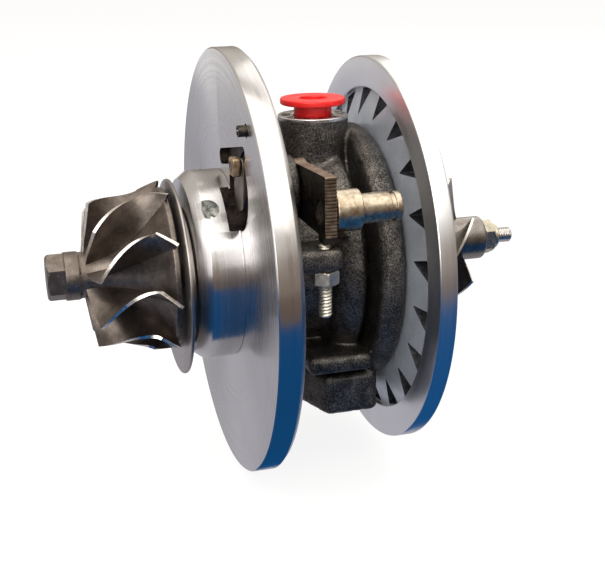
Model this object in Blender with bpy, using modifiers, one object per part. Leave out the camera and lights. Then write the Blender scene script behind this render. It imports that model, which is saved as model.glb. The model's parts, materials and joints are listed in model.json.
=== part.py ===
"""Turbo cartridge: the centre section of a small variable-geometry turbocharger.

Metres, +Z up. The rotor turns about the X axis and +X points to the compressor. Every station
is measured along that axis from the turbine-side face of the big flange, and one empty shifts
the whole cartridge so that the middle of its length lies at the world's origin.
"""

import math

import bmesh
import bpy
from mathutils import Matrix, Vector

MM = 0.001
FULL_TURN = 2.0 * math.pi

# General
CLEARANCE = 0.3 * MM
SMOOTH_ANGLE = math.radians(35.0)
CUT_MARGIN = 1.0 * MM
SMALL_EDGE = 0.4 * MM
BROKEN_EDGE = 0.6 * MM
JOIN_DEPTH = 1.0 * MM

# Flange and turbine-side hub of the bearing housing
FLANGE_RADIUS = 55.0 * MM
FLANGE_THICKNESS = 6.5 * MM
FLANGE_EDGE = 1.2 * MM
HUB_RADIUS = 24.5 * MM
HUB_LENGTH = 10.7 * MM
HUB_CHAMFER_LENGTH = 2.7 * MM
HUB_CHAMFER_DEPTH = 2.1 * MM
HOUSING_SEGMENTS = 64

# Cast body between the flange and the compressor-side collar
CORE_RADIUS = 23.0 * MM
CORE_FLARE = 5.0 * MM
DOME_RADIUS = 28.5 * MM
DOME_LENGTH = 6.5 * MM
GROOVE_RADIUS = 22.0 * MM
GROOVE_WIDTH = 2.0 * MM
COLLAR_RADIUS = 34.0 * MM
COLLAR_THICKNESS = 6.5 * MM
COLLAR_ROUND = 1.6 * MM
COLLAR_STATION = 38.5 * MM

# Oil inlet boss and its transport cap
INLET_STATION = 24.8 * MM
INLET_TOP = 37.2 * MM
INLET_RADIUS = 9.1 * MM
INLET_FOOT_RADIUS = 12.5 * MM
INLET_FOOT_HEIGHT = 17.5 * MM
INLET_SHOULDER_HEIGHT = 26.0 * MM
INLET_PORT_DEPTH = 12.0 * MM
CAP_STEM_RADIUS = 4.85 * MM
CAP_STEM_DEPTH = 7.0 * MM
CAP_STAND_OFF = 2.7 * MM
CAP_FLANGE_RADIUS = 8.4 * MM
CAP_FLANGE_THICKNESS = 1.6 * MM
CAP_WALL = 1.2 * MM
GALLERY_RADIUS = 1.6 * MM

# Oil drain pad under the housing
DRAIN_STATION = 28.3 * MM
DRAIN_FACE = 38.4 * MM
DRAIN_PAD_THICKNESS = 10.9 * MM
DRAIN_PAD_HALF_LENGTH = 21.0 * MM
DRAIN_PAD_FRONT_WIDTH = 11.3 * MM
DRAIN_PAD_REAR_WIDTH = 8.6 * MM
DRAIN_PAD_END_HALF_WIDTH = 6.9 * MM
DRAIN_PAD_SHOULDER = 8.0 * MM
DRAIN_PORT_RADIUS = 6.6 * MM
DRAIN_WALL = 3.4 * MM
DRAIN_BOLT_RADIUS = 2.9 * MM
DRAIN_BOLT_OFFSET = 15.5 * MM
DRAIN_BOLT_DEPTH = 9.0 * MM

# Cast shelf on the lever's side, above the drain pad
SHELF_START = 15.0 * MM
SHELF_END = 31.4 * MM
SHELF_NEAR_FACE = 28.0 * MM
SHELF_DEPTH = 20.0 * MM
SHELF_TOP = -19.4 * MM
SHELF_HEIGHT = 4.6 * MM
CAST_ROUND = 1.0 * MM

# Rotor: turbine wheel and shaft
NOSE_STATION = -45.7 * MM
NOSE_HEX_FLATS = 10.6 * MM
NOSE_HEX_LENGTH = 4.4 * MM
NOSE_COLLAR_RADIUS = 6.2 * MM
NOSE_COLLAR_STEP = 0.5 * MM
TURBINE_BLADES = 9
TURBINE_EXIT_HUB_STATION = -37.4 * MM
TURBINE_EXIT_HUB_RADIUS = 5.9 * MM
TURBINE_EXIT_TIP_STATION = -34.2 * MM
TURBINE_EXIT_TIP_RADIUS = 18.5 * MM
TURBINE_CORNER_STATION = -19.9 * MM
TURBINE_CORNER_RADIUS = 21.2 * MM
TURBINE_FOOT_RADIUS = 22.4 * MM
TURBINE_DISC_RADIUS = 20.6 * MM
TURBINE_DISC_THICKNESS = 1.3 * MM
TURBINE_BACK_STATION = -14.9 * MM
TURBINE_FOOT_ANGLE = math.radians(29.3)
TURBINE_CORNER_ANGLE = math.radians(39.9)
TURBINE_EXIT_ANGLE = math.radians(8.9)
TURBINE_TIP_SWEEP = 2.17
TURBINE_HUB_SWEEP = 1.8
TURBINE_SHROUD_POWER = 0.5
TURBINE_HUB_POWER = 2.2
TURBINE_BLADE_THICKNESS = 0.9 * MM
BLADE_ROOT_DEPTH = 0.9 * MM
BLADE_FOOT_DEPTH = 0.2 * MM
SHAFT_SEAL_RADIUS = 7.2 * MM
SHAFT_SEAL_END = -3.6 * MM
SHAFT_JOURNAL_RADIUS = 4.0 * MM
SHAFT_STUB_RADIUS = 2.5 * MM
SHAFT_THREAD_RADIUS = 2.1 * MM
SHAFT_THREAD_LEAD = 1.0 * MM
SHAFT_NECK_STEP = 1.0 * MM
SHAFT_END_STATION = 82.0 * MM
ROTOR_SEGMENTS = 36

# Heat shield
SHIELD_RADIUS = 25.2 * MM
SHIELD_THICKNESS = 0.8 * MM
SHIELD_GAP = 1.0 * MM
SHIELD_SKIRT_RADIUS = 18.0 * MM
SHIELD_SHIFT_Y = -1.5 * MM
SHIELD_SHIFT_Z = -2.3 * MM

# Bearings between the shaft and the housing's bore
BEARING_FILM = 0.3 * MM
BEARING_WALL = 2.2 * MM
BEARING_LENGTH = 7.5 * MM
BEARING_OIL_HOLE_RADIUS = 0.8 * MM
SPACER_OIL_HOLE_RADIUS = 2.0 * MM
TURBINE_BEARING_STATION = -2.6 * MM
BEARING_SPACER_WALL = 1.2 * MM
PISTON_RING_WIDTH = 1.2 * MM
PISTON_RING_DEPTH = 1.3 * MM
PISTON_RING_GAP_ANGLE = math.radians(8.0)
TURBINE_RING_STATION = -8.2 * MM

# Thrust parts and the oil flinger at the compressor end
THRUST_RECESS_STATION = 29.5 * MM
THRUST_RECESS_RADIUS = 17.0 * MM
THRUST_COLLAR_RADIUS = 7.0 * MM
THRUST_COLLAR_LENGTH = 3.4 * MM
THRUST_NECK_RADIUS = 4.6 * MM
THRUST_PLATE_THICKNESS = 2.4 * MM
THRUST_PAD_DEPTH = 0.4 * MM
THRUST_PAD_COUNT = 4
THRUST_GROOVE_RADIUS = 0.9 * MM
DEFLECTOR_THICKNESS = 0.8 * MM
FLINGER_RADIUS = 6.4 * MM
FLINGER_RIM_RADIUS = 9.0 * MM
FLINGER_RIM_THICKNESS = 1.2 * MM
COMPRESSOR_RING_SET_BACK = 0.5 * MM

# Backplate between the housing and the compressor
BACKPLATE_RADIUS = 51.15 * MM
BACKPLATE_THICKNESS = 4.4 * MM
BACKPLATE_SET_BACK = 1.1 * MM
BACKPLATE_RIM_WIDTH = 8.05 * MM
BACKPLATE_CONE_WIDTH = 8.5 * MM
BACKPLATE_CONE_DROP = 2.6 * MM
BACKPLATE_SKIN = 1.0 * MM
BACKPLATE_POCKETS = 20
POCKET_FIRST_ANGLE = math.radians(5.7)
POCKET_LENGTH = 7.6 * MM
POCKET_HALF_WIDTH = 3.6 * MM
POCKET_SWIRL = math.radians(4.0)
SPIGOT_LENGTH = 3.2 * MM
SEAL_RING_RADIUS = 0.9 * MM
WHEEL_POCKET_DEPTH = 0.9 * MM
BACKPLATE_SCREWS = 4
SCREW_CIRCLE_RADIUS = 29.4 * MM
SCREW_RADIUS = 2.0 * MM
SCREW_HEAD_RADIUS = 3.8 * MM
SCREW_HEAD_THICKNESS = 2.2 * MM
SCREW_LENGTH = 7.6 * MM
SCREW_DRIVE_FLATS = 2.5 * MM
SCREW_DRIVE_DEPTH = 1.3 * MM
SCREW_FIRST_ANGLE = math.radians(45.0)

# Compressor wheel and nut
COMPRESSOR_BLADES = 6
COMPRESSOR_BACK_GAP = 0.6 * MM
COMPRESSOR_RADIUS = 24.5 * MM
COMPRESSOR_DISC_THICKNESS = 1.4 * MM
COMPRESSOR_EXIT_WIDTH = 2.6 * MM
COMPRESSOR_INLET_STATION = 64.2 * MM
COMPRESSOR_INLET_RADIUS = 17.24 * MM
COMPRESSOR_HUB_RADIUS = 5.9 * MM
COMPRESSOR_HUB_LEAD = 1.2 * MM
COMPRESSOR_NOSE_STATION = 72.8 * MM
COMPRESSOR_NOSE_ROUND = 1.2 * MM
COMPRESSOR_WRAP = math.radians(70.0)
COMPRESSOR_SWEEP = 2.2
COMPRESSOR_INLET_ANGLE = math.radians(33.8)
COMPRESSOR_BLADE_THICKNESS = 0.8 * MM
SPLITTER_START = 0.32
NUT_HEX_FLATS = 8.4 * MM
NUT_HEX_LENGTH = 3.0 * MM
NUT_COLLAR_RADIUS = 3.4 * MM
NUT_COLLAR_LENGTH = 1.5 * MM

# Vane lever: spindle, inner crank, sliding block, outer lever and its pin
SPINDLE_Y = -20.0 * MM
SPINDLE_Z = 23.0 * MM
SPINDLE_RADIUS = 3.3 * MM
SPINDLE_PROUD = 1.4 * MM
BUSH_WALL = 1.3 * MM
SPINDLE_BOSS_RADIUS = 8.0 * MM
SPINDLE_BOSS_END = 13.3 * MM
CRANK_POCKET_RADIUS = 9.6 * MM
CRANK_POCKET_FRONT = 2.7 * MM
CRANK_POCKET_DEPTH = 2.7 * MM
CRANK_THICKNESS = 2.4 * MM
CRANK_EYE_RADIUS = 4.8 * MM
CRANK_RADIUS = 7.3 * MM
CRANK_ANGLE = math.radians(113.0)
CRANK_TIP_RADIUS = 1.9 * MM
BLOCK_WIDTH = 4.3 * MM
BLOCK_THICKNESS = 2.1 * MM
BLOCK_PIN_RADIUS = 1.1 * MM
SLOT_MIDDLE_Y = -13.8 * MM
SLOT_MIDDLE_Z = 30.6 * MM
SLOT_LENGTH = 28.4 * MM
SLOT_WIDTH = 4.0 * MM
SLOT_DEPTH = 2.2 * MM
SLOT_TILT = math.radians(-10.8)
NOTCH_ANGLE = math.radians(42.5)
NOTCH_LENGTH = 4.6 * MM
NOTCH_WIDTH = 2.8 * MM
NOTCH_DEPTH = 1.4 * MM
LEVER_STATION = 13.6 * MM
LEVER_THICKNESS = 2.8 * MM
LEVER_EYE_RADIUS = 7.0 * MM
LEVER_REACH = 26.0 * MM
LEVER_END_HEIGHT = 14.2 * MM
LEVER_END_DROP = 6.5 * MM
LEVER_SERRATIONS = 18
LEVER_SERRATION_DEPTH = 0.35 * MM
LEVER_FOOT_REACH = 3.0 * MM
LEVER_FOOT_WIDTH = 4.4 * MM
LEVER_FOOT_THICKNESS = 1.6 * MM
LEVER_FOOT_DROP = 1.5 * MM
LEVER_PIN_Y = -41.5 * MM
LEVER_PIN_Z = 21.8 * MM
LEVER_PIN_BOSS_RADIUS = 4.8 * MM
LEVER_PIN_BOSS_LENGTH = 6.2 * MM
LEVER_PIN_RADIUS = 3.5 * MM
LEVER_PIN_LENGTH = 7.2 * MM
LEVER_PIN_GROOVE = 1.1 * MM
LEVER_PIN_GROOVE_DEPTH = 0.5 * MM
LEVER_PIN_TIP = 1.5 * MM
LEVER_PIN_RIVET_RADIUS = 2.5 * MM
LEVER_PIN_RIVET_SET_BACK = 0.2 * MM

# Stop lug, its screw and lock nut
LUG_TOP = 14.1 * MM
LUG_HEIGHT = 5.3 * MM
LUG_REACH = 17.9 * MM
LUG_NEAR_FACE = 46.8 * MM
LUG_DEPTH = 11.0 * MM
STOP_SCREW_RADIUS = 1.6 * MM
STOP_SCREW_STATION = 14.4 * MM
STOP_SCREW_Y = -42.8 * MM
STOP_SCREW_LENGTH = 17.5 * MM
STOP_NUT_FLATS = 5.8 * MM
STOP_NUT_THICKNESS = 3.2 * MM

# Dowel in the flange, and the rough casting mark on the hub
DOWEL_SHARE_OF_RIM = 0.602
DOWEL_ANGLE = math.radians(53.04)
DOWEL_RADIUS = 1.35 * MM
DOWEL_WALL = 0.45 * MM
DOWEL_SLIT = 0.4 * MM
DOWEL_PROUD = 2.0 * MM
DOWEL_DEPTH = 4.5 * MM
MARK_RADIUS = 2.8 * MM
MARK_DEPTH = 0.5 * MM
MARK_STATION = -6.9 * MM
MARK_ANGLE = math.radians(48.7)

# Worked out from the sizes above
MIDDLE_STATION = 0.5 * (NOSE_STATION + SHAFT_END_STATION)
BEARING_BORE_RADIUS = SHAFT_JOURNAL_RADIUS + 2.0 * BEARING_FILM + BEARING_WALL
SEAL_BORE_RADIUS = SHAFT_SEAL_RADIUS + CLEARANCE
SHIELD_BORE_RADIUS = SEAL_BORE_RADIUS + math.hypot(SHIELD_SHIFT_Y, SHIELD_SHIFT_Z)
THRUST_STATION = THRUST_RECESS_STATION + CLEARANCE
THRUST_END = THRUST_STATION + THRUST_COLLAR_LENGTH
PLATE_FACE = COLLAR_STATION + CLEARANCE
BACKPLATE_RECESS_RADIUS = BACKPLATE_RADIUS - BACKPLATE_RIM_WIDTH
BACKPLATE_CONE_RADIUS = BACKPLATE_RECESS_RADIUS - BACKPLATE_CONE_WIDTH
POCKET_APEX_RADIUS = BACKPLATE_RECESS_RADIUS - POCKET_LENGTH
RIM_FRONT = COLLAR_STATION + BACKPLATE_SET_BACK
RIM_REAR = RIM_FRONT + BACKPLATE_THICKNESS
POCKET_FLOOR = RIM_REAR - BACKPLATE_SKIN
WHEEL_POCKET_FLOOR = RIM_REAR - WHEEL_POCKET_DEPTH
COMPRESSOR_BACK = WHEEL_POCKET_FLOOR + COMPRESSOR_BACK_GAP
SPIGOT_RADIUS = THRUST_RECESS_RADIUS - CLEARANCE
SPIGOT_END = COLLAR_STATION - SPIGOT_LENGTH
FLINGER_BORE_RADIUS = FLINGER_RADIUS + CLEARANCE
PORT_RADIUS = CAP_STEM_RADIUS + CLEARANCE
NUT_STATION = COMPRESSOR_NOSE_STATION + CLEARANCE
LEVER_REAR = LEVER_STATION + LEVER_THICKNESS
LUG_BOTTOM = LUG_TOP - LUG_HEIGHT
CRANK_ARM_END = CRANK_POCKET_DEPTH - CLEARANCE
CRANK_ARM_START = CRANK_ARM_END - CRANK_THICKNESS
BLOCK_END = CRANK_ARM_START - CLEARANCE
BLOCK_START = BLOCK_END - BLOCK_THICKNESS
CRANK_POCKET_REACH = math.hypot(SPINDLE_Y, SPINDLE_Z) + CRANK_POCKET_RADIUS
RIM_BEYOND_POCKET = FLANGE_RADIUS - CRANK_POCKET_REACH
DOWEL_CIRCLE_RADIUS = CRANK_POCKET_REACH + DOWEL_SHARE_OF_RIM * RIM_BEYOND_POCKET
DOWEL_Y = -DOWEL_CIRCLE_RADIUS * math.cos(DOWEL_ANGLE)
DOWEL_Z = DOWEL_CIRCLE_RADIUS * math.sin(DOWEL_ANGLE)


# Helpers


def make_collection(name):
    collection = bpy.data.collections.new(name)
    bpy.context.scene.collection.children.link(collection)
    return collection


def material(name, colour, roughness, metallic):
    made = bpy.data.materials.new(name)
    made.use_nodes = True
    shader = made.node_tree.nodes["Principled BSDF"]
    shader.inputs["Base Color"].default_value = (*colour, 1.0)
    shader.inputs["Roughness"].default_value = roughness
    shader.inputs["Metallic"].default_value = metallic
    made.diffuse_color = (*colour, 1.0)
    return made


def add_object(name, mesh, look=None, location=(0.0, 0.0, 0.0), rotation=(0.0, 0.0, 0.0)):
    """A named object on the cartridge's empty: a part where it has a look, else a cutter."""
    obj = bpy.data.objects.new(name, mesh)
    obj.parent = CARTRIDGE
    obj.location = location
    obj.rotation_euler = rotation
    if look is None:
        obj.hide_render = True
        obj.display_type = "WIRE"
        CUTTERS.objects.link(obj)
        return obj
    mesh.materials.append(look)
    PARTS.objects.link(obj)
    return obj


def finished(mesh):
    mesh.shade_smooth()
    mesh.set_sharp_from_angle(angle=SMOOTH_ANGLE)
    return mesh


def mesh_from(name, bm):
    mesh = bpy.data.meshes.new(name)
    bm.to_mesh(mesh)
    bm.free()
    return finished(mesh)


def turned(name, profile, look=None, segments=ROTOR_SEGMENTS, at=(0.0, 0.0, 0.0), upright=False):
    """A turned shape. The profile lists (station, radius) from the far end down its outer side,
    then back along the bore, if it has one. It turns about X, or about Z when upright."""
    mesh = bpy.data.meshes.new(name)
    count = len(profile)
    closed = profile[0][1] > 0.0
    edges = [(i, i + 1) for i in range(count - 1)]
    if closed:
        edges.append((count - 1, 0))
    mesh.from_pydata([(radius, 0.0, station) for station, radius in profile], edges, [])
    obj = add_object(name, mesh, look, at, (0.0, 0.0 if upright else math.pi / 2.0, 0.0))
    screw = obj.modifiers.new("Turn", "SCREW")
    screw.axis = "Z"
    screw.angle = FULL_TURN
    screw.steps = segments
    screw.render_steps = segments
    screw.use_merge_vertices = True
    screw.merge_threshold = 0.00001
    screw.use_smooth_shade = True
    return obj


def cylinder(name, start, end, radius, look=None, segments=24, at=(0.0, 0.0, 0.0), upright=False):
    profile = [(end, 0.0), (end, radius), (start, radius), (start, 0.0)]
    return turned(name, profile, look, segments, at, upright)


def ring_profile(start, end, inner, outer):
    return [(end, outer), (start, outer), (start, inner), (end, inner)]


def prism_mesh(name, outline, start, end):
    """A flat outline of (y, z) points, counter-clockwise seen from +X, extruded along X."""
    bm = bmesh.new()
    face = bm.faces.new([bm.verts.new((start, y, z)) for y, z in outline])
    swept = bmesh.ops.extrude_face_region(bm, geom=[face])
    moved = [item for item in swept["geom"] if isinstance(item, bmesh.types.BMVert)]
    bmesh.ops.translate(bm, verts=moved, vec=(end - start, 0.0, 0.0))
    bmesh.ops.recalc_face_normals(bm, faces=bm.faces)
    return mesh_from(name, bm)


def hexagon_mesh(name, flats, start, end, along="X"):
    bm = bmesh.new()
    radius = flats / 2.0 / math.cos(math.pi / 6.0)
    length = end - start
    bmesh.ops.create_cone(bm, cap_ends=True, segments=6, radius1=radius, radius2=radius, depth=length)
    middle = Matrix.Translation((0.0, 0.0, (start + end) / 2.0))
    turn = Matrix.Rotation(math.pi / 2.0, 4, "Y") if along == "X" else Matrix.Identity(4)
    bmesh.ops.transform(bm, matrix=turn @ middle, verts=bm.verts)
    return mesh_from(name, bm)


def box_mesh(name, low, high):
    bm = bmesh.new()
    size = Vector(high) - Vector(low)
    middle = (Vector(high) + Vector(low)) / 2.0
    place = Matrix.Translation(middle) @ Matrix.Diagonal((*size, 1.0))
    bmesh.ops.create_cube(bm, size=1.0, matrix=place)
    return mesh_from(name, bm)


def boolean(obj, other, operation):
    step = obj.modifiers.new(operation.title(), "BOOLEAN")
    step.operation = operation
    step.solver = "EXACT"
    step.object = other


def cut(obj, *cutters):
    for cutter in cutters:
        boolean(obj, cutter, "DIFFERENCE")


def join(obj, *pieces):
    for piece in pieces:
        boolean(obj, piece, "UNION")


def bevel(obj, width, segments=1, angle=math.radians(40.0)):
    edge = obj.modifiers.new("Edges", "BEVEL")
    edge.width = width
    edge.segments = segments
    edge.limit_method = "ANGLE"
    edge.angle_limit = angle
    return edge


def polar(station, radius, angle):
    """A point at an angle from -Y towards +Z about the rotor's axis."""
    return Vector((station, -radius * math.cos(angle), radius * math.sin(angle)))


def mix(first, second, share):
    return first + (second - first) * share


def arc(centre, radius, start, end, steps):
    """Points of a circular arc in the (y, z) plane, angles from +Y towards +Z."""
    turns = [mix(start, end, i / steps) for i in range(steps + 1)]
    return [
        (centre[0] + radius * math.cos(turn), centre[1] + radius * math.sin(turn))
        for turn in turns
    ]


# Bearing housing


def dome_line(end):
    """The rounded flare of the casting, from beside the collar's groove down to the core."""
    turns = [math.pi / 2.0 * step / 5.0 for step in range(6)]
    return [
        (
            end - CAST_ROUND - DOME_LENGTH * math.sin(turn),
            mix(CORE_RADIUS, DOME_RADIUS, math.cos(turn)),
        )
        for turn in turns
    ]


def housing_profile():
    """Outer side of the casting, from the collar to the hub's face."""
    collar_start = COLLAR_STATION - COLLAR_THICKNESS
    dome_end = collar_start - GROOVE_WIDTH
    flange_edge = FLANGE_RADIUS - FLANGE_EDGE
    hub_shoulder = HUB_CHAMFER_LENGTH - HUB_LENGTH
    return [
        (COLLAR_STATION, 0.0),
        (COLLAR_STATION, COLLAR_RADIUS - COLLAR_ROUND),
        (COLLAR_STATION - COLLAR_ROUND, COLLAR_RADIUS),
        (collar_start + COLLAR_ROUND, COLLAR_RADIUS),
        (collar_start, COLLAR_RADIUS - COLLAR_ROUND),
        (collar_start, GROOVE_RADIUS),
        (dome_end, GROOVE_RADIUS),
        (dome_end, DOME_RADIUS - CAST_ROUND),
        *dome_line(dome_end),
        (FLANGE_THICKNESS + CORE_FLARE, CORE_RADIUS),
        (FLANGE_THICKNESS, CORE_RADIUS + CORE_FLARE),
        (FLANGE_THICKNESS, flange_edge),
        (FLANGE_THICKNESS - FLANGE_EDGE, FLANGE_RADIUS),
        (0.0, FLANGE_RADIUS),
        (0.0, HUB_RADIUS),
        (hub_shoulder, HUB_RADIUS),
        (-HUB_LENGTH, HUB_RADIUS - HUB_CHAMFER_DEPTH),
        (-HUB_LENGTH, 0.0),
    ]


def make_rotor_bore():
    """The stepped bore: seal seat, bearing bore and the wide recess for the thrust parts."""
    bearing_start = SHAFT_SEAL_END + CLEARANCE
    outside = COLLAR_STATION + CUT_MARGIN
    front = -HUB_LENGTH - CUT_MARGIN
    profile = [
        (outside, 0.0),
        (outside, THRUST_RECESS_RADIUS),
        (THRUST_RECESS_STATION, THRUST_RECESS_RADIUS),
        (THRUST_RECESS_STATION, BEARING_BORE_RADIUS),
        (bearing_start, BEARING_BORE_RADIUS),
        (bearing_start, SEAL_BORE_RADIUS),
        (front, SEAL_BORE_RADIUS),
        (front, 0.0),
    ]
    return turned("rotor_bore", profile, segments=HOUSING_SEGMENTS)


def drain_pad_outline():
    """Half-way between an oval and a lozenge: two flat ends joined by slanting sides."""
    end = DRAIN_PAD_HALF_LENGTH
    flat = DRAIN_PAD_END_HALF_WIDTH
    shoulder = DRAIN_PAD_SHOULDER
    rear, front = DRAIN_PAD_REAR_WIDTH, -DRAIN_PAD_FRONT_WIDTH
    return [
        (flat, -end), (rear, -shoulder), (rear, shoulder), (flat, end),
        (-flat, end), (front, shoulder), (front, -shoulder), (-flat, -end),
    ]


def upright_prism(name, outline, bottom, top, station):
    """A flat outline of (x, y) points about a station, extruded upwards."""
    bm = bmesh.new()
    face = bm.faces.new([bm.verts.new((x, y, bottom)) for x, y in outline])
    swept = bmesh.ops.extrude_face_region(bm, geom=[face])
    moved = [item for item in swept["geom"] if isinstance(item, bmesh.types.BMVert)]
    bmesh.ops.translate(bm, verts=moved, vec=(0.0, 0.0, top - bottom))
    bmesh.ops.recalc_face_normals(bm, faces=bm.faces)
    return add_object(name, mesh_from(name, bm), None, (station, 0.0, 0.0))


def make_inlet(housing):
    boss_profile = [
        (INLET_TOP, 0.0),
        (INLET_TOP, INLET_RADIUS),
        (INLET_SHOULDER_HEIGHT, INLET_RADIUS),
        (INLET_FOOT_HEIGHT, INLET_FOOT_RADIUS),
        (INLET_FOOT_HEIGHT, 0.0),
    ]
    place = (INLET_STATION, 0.0, 0.0)
    boss = turned("inlet_boss", boss_profile, segments=32, at=place, upright=True)
    port_bottom = INLET_TOP - INLET_PORT_DEPTH
    port_profile = [
        (INLET_TOP + CUT_MARGIN, 0.0),
        (INLET_TOP + CUT_MARGIN, PORT_RADIUS),
        (port_bottom, PORT_RADIUS),
        (port_bottom - PORT_RADIUS / 2.0, GALLERY_RADIUS),
        (0.0, GALLERY_RADIUS),
        (0.0, 0.0),
    ]
    port = turned("inlet_port", port_profile, segments=32, at=place, upright=True)
    join(housing, boss)
    return port


def make_drain(housing):
    outline = drain_pad_outline()
    pad_top = DRAIN_PAD_THICKNESS - DRAIN_FACE
    pad = upright_prism("drain_pad", outline, -DRAIN_FACE, pad_top, DRAIN_STATION)
    bevel(pad, CAST_ROUND)
    place = (DRAIN_STATION, 0.0, 0.0)
    neck_radius = DRAIN_PORT_RADIUS + DRAIN_WALL
    neck = cylinder(
        "drain_neck", -DRAIN_FACE + DRAIN_PAD_THICKNESS / 2.0, -SEAL_BORE_RADIUS - 2.0 * JOIN_DEPTH,
        neck_radius, segments=24, at=place, upright=True,
    )
    join(housing, pad, neck)
    port = cylinder(
        "drain_port", -DRAIN_FACE - CUT_MARGIN, CUT_MARGIN - BEARING_BORE_RADIUS,
        DRAIN_PORT_RADIUS, segments=24, at=place, upright=True,
    )
    holes = []
    for side in (-1, 1):
        hole = cylinder(
            f"drain_bolt_hole_{'near' if side < 0 else 'far'}", -DRAIN_FACE - CUT_MARGIN,
            DRAIN_BOLT_DEPTH - DRAIN_FACE, DRAIN_BOLT_RADIUS, segments=16,
            at=(DRAIN_STATION, side * DRAIN_BOLT_OFFSET, 0.0), upright=True,
        )
        holes.append(hole)
    return [port, *holes]


def make_shelf(housing):
    low = (SHELF_START, -SHELF_NEAR_FACE, SHELF_TOP - SHELF_HEIGHT)
    high = (SHELF_END, SHELF_DEPTH - SHELF_NEAR_FACE, SHELF_TOP)
    shelf = add_object("cast_shelf", box_mesh("cast_shelf", low, high))
    bevel(shelf, CAST_ROUND)
    join(housing, shelf)


def make_lug(housing):
    """The ledge that carries the stop screw, cast on the back of the flange."""
    low = (FLANGE_THICKNESS - JOIN_DEPTH, -LUG_NEAR_FACE, LUG_BOTTOM)
    high = (LUG_REACH, LUG_DEPTH - LUG_NEAR_FACE, LUG_TOP)
    lug = add_object("stop_lug", box_mesh("stop_lug", low, high))
    bevel(lug, CAST_ROUND)
    join(housing, lug)
    return cylinder(
        "stop_screw_hole", LUG_BOTTOM - CUT_MARGIN, LUG_TOP + CUT_MARGIN,
        STOP_SCREW_RADIUS + CLEARANCE, segments=16,
        at=(STOP_SCREW_STATION, STOP_SCREW_Y, 0.0), upright=True,
    )


def make_spindle_seat(housing):
    """The boss behind the flange that carries the bush, and the milled pocket in front of it."""
    place = (0.0, SPINDLE_Y, SPINDLE_Z)
    boss = cylinder(
        "spindle_boss", FLANGE_THICKNESS - JOIN_DEPTH, SPINDLE_BOSS_END, SPINDLE_BOSS_RADIUS,
        segments=32, at=place,
    )
    join(housing, boss)
    bush_seat = SPINDLE_RADIUS + 2.0 * CLEARANCE + BUSH_WALL
    bore = cylinder(
        "spindle_bore", CRANK_POCKET_DEPTH - CUT_MARGIN, SPINDLE_BOSS_END + CUT_MARGIN, bush_seat,
        segments=24, at=place,
    )
    pocket = cylinder(
        "crank_pocket", -CRANK_POCKET_FRONT, CRANK_POCKET_DEPTH, CRANK_POCKET_RADIUS,
        segments=32, at=place,
    )
    return [bore, pocket]


def make_notch():
    """The three-cornered run-out of the pocket on the hub, its point down."""
    half = NOTCH_LENGTH / 2.0
    outline = [(-NOTCH_WIDTH, half), (-NOTCH_WIDTH / 2.0, -half), (CLEARANCE, half)]
    notch = upright_prism(
        "pocket_notch", outline, HUB_RADIUS - NOTCH_DEPTH, HUB_RADIUS + CUT_MARGIN, 0.0,
    )
    notch.rotation_euler = (math.pi / 2.0 - NOTCH_ANGLE, 0.0, 0.0)
    return notch


def make_relief_slot():
    """The round-ended relief in the flange's face beside the crank."""
    half = SLOT_LENGTH / 2.0 - SLOT_WIDTH / 2.0
    right = arc((half, 0.0), SLOT_WIDTH / 2.0, -math.pi / 2.0, math.pi / 2.0, 6)
    left = arc((-half, 0.0), SLOT_WIDTH / 2.0, math.pi / 2.0, 1.5 * math.pi, 6)
    mesh = prism_mesh("relief_slot", right + left, -CUT_MARGIN, SLOT_DEPTH)
    middle = (0.0, SLOT_MIDDLE_Y, SLOT_MIDDLE_Z)
    return add_object("relief_slot", mesh, None, middle, (SLOT_TILT, 0.0, 0.0))


def make_dowel_hole():
    return cylinder(
        "dowel_hole", -CUT_MARGIN, DOWEL_DEPTH + CLEARANCE, DOWEL_RADIUS + CLEARANCE,
        segments=16, at=(0.0, DOWEL_Y, DOWEL_Z),
    )


def make_casting_mark():
    """A shallow round sinking on the hub's edge, left rough by the casting."""
    place = polar(MARK_STATION, 0.0, 0.0)
    radial = cylinder(
        "casting_mark", HUB_RADIUS - MARK_DEPTH, HUB_RADIUS + CUT_MARGIN, MARK_RADIUS,
        segments=24, at=place, upright=True,
    )
    radial.rotation_euler = (math.pi / 2.0 - MARK_ANGLE, 0.0, 0.0)
    return radial


def make_housing(look):
    housing = turned("bearing_housing", housing_profile(), look, HOUSING_SEGMENTS)
    port = make_inlet(housing)
    drains = make_drain(housing)
    make_shelf(housing)
    screw_hole = make_lug(housing)
    seats = make_spindle_seat(housing)
    cut(housing, make_rotor_bore(), port, *drains, screw_hole, *seats)
    cut(housing, make_relief_slot(), make_notch(), make_dowel_hole())
    cut(housing, make_casting_mark(), *screw_cutters("housing", SCREW_RADIUS + CLEARANCE))
    return housing


# Heat shield


def make_heat_shield(look):
    """A pressed dish: the broad front disc and the skirt that seats on the hub's face. It hangs
    loose on the shaft until the turbine housing clamps it, so it sits off the rotor's axis."""
    front = TURBINE_BACK_STATION + SHIELD_GAP
    back = front + SHIELD_THICKNESS
    seat = -HUB_LENGTH - CLEARANCE
    skirt_inner = SHIELD_SKIRT_RADIUS - SHIELD_THICKNESS
    profile = [
        (seat, SHIELD_SKIRT_RADIUS),
        (back, SHIELD_SKIRT_RADIUS),
        (back, SHIELD_RADIUS),
        (front, SHIELD_RADIUS),
        (front, SHIELD_BORE_RADIUS),
        (back, SHIELD_BORE_RADIUS),
        (back, skirt_inner),
        (seat, skirt_inner),
    ]
    place = (0.0, SHIELD_SHIFT_Y, SHIELD_SHIFT_Z)
    return turned("heat_shield", profile, look, 48, place)


# Rotor


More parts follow.
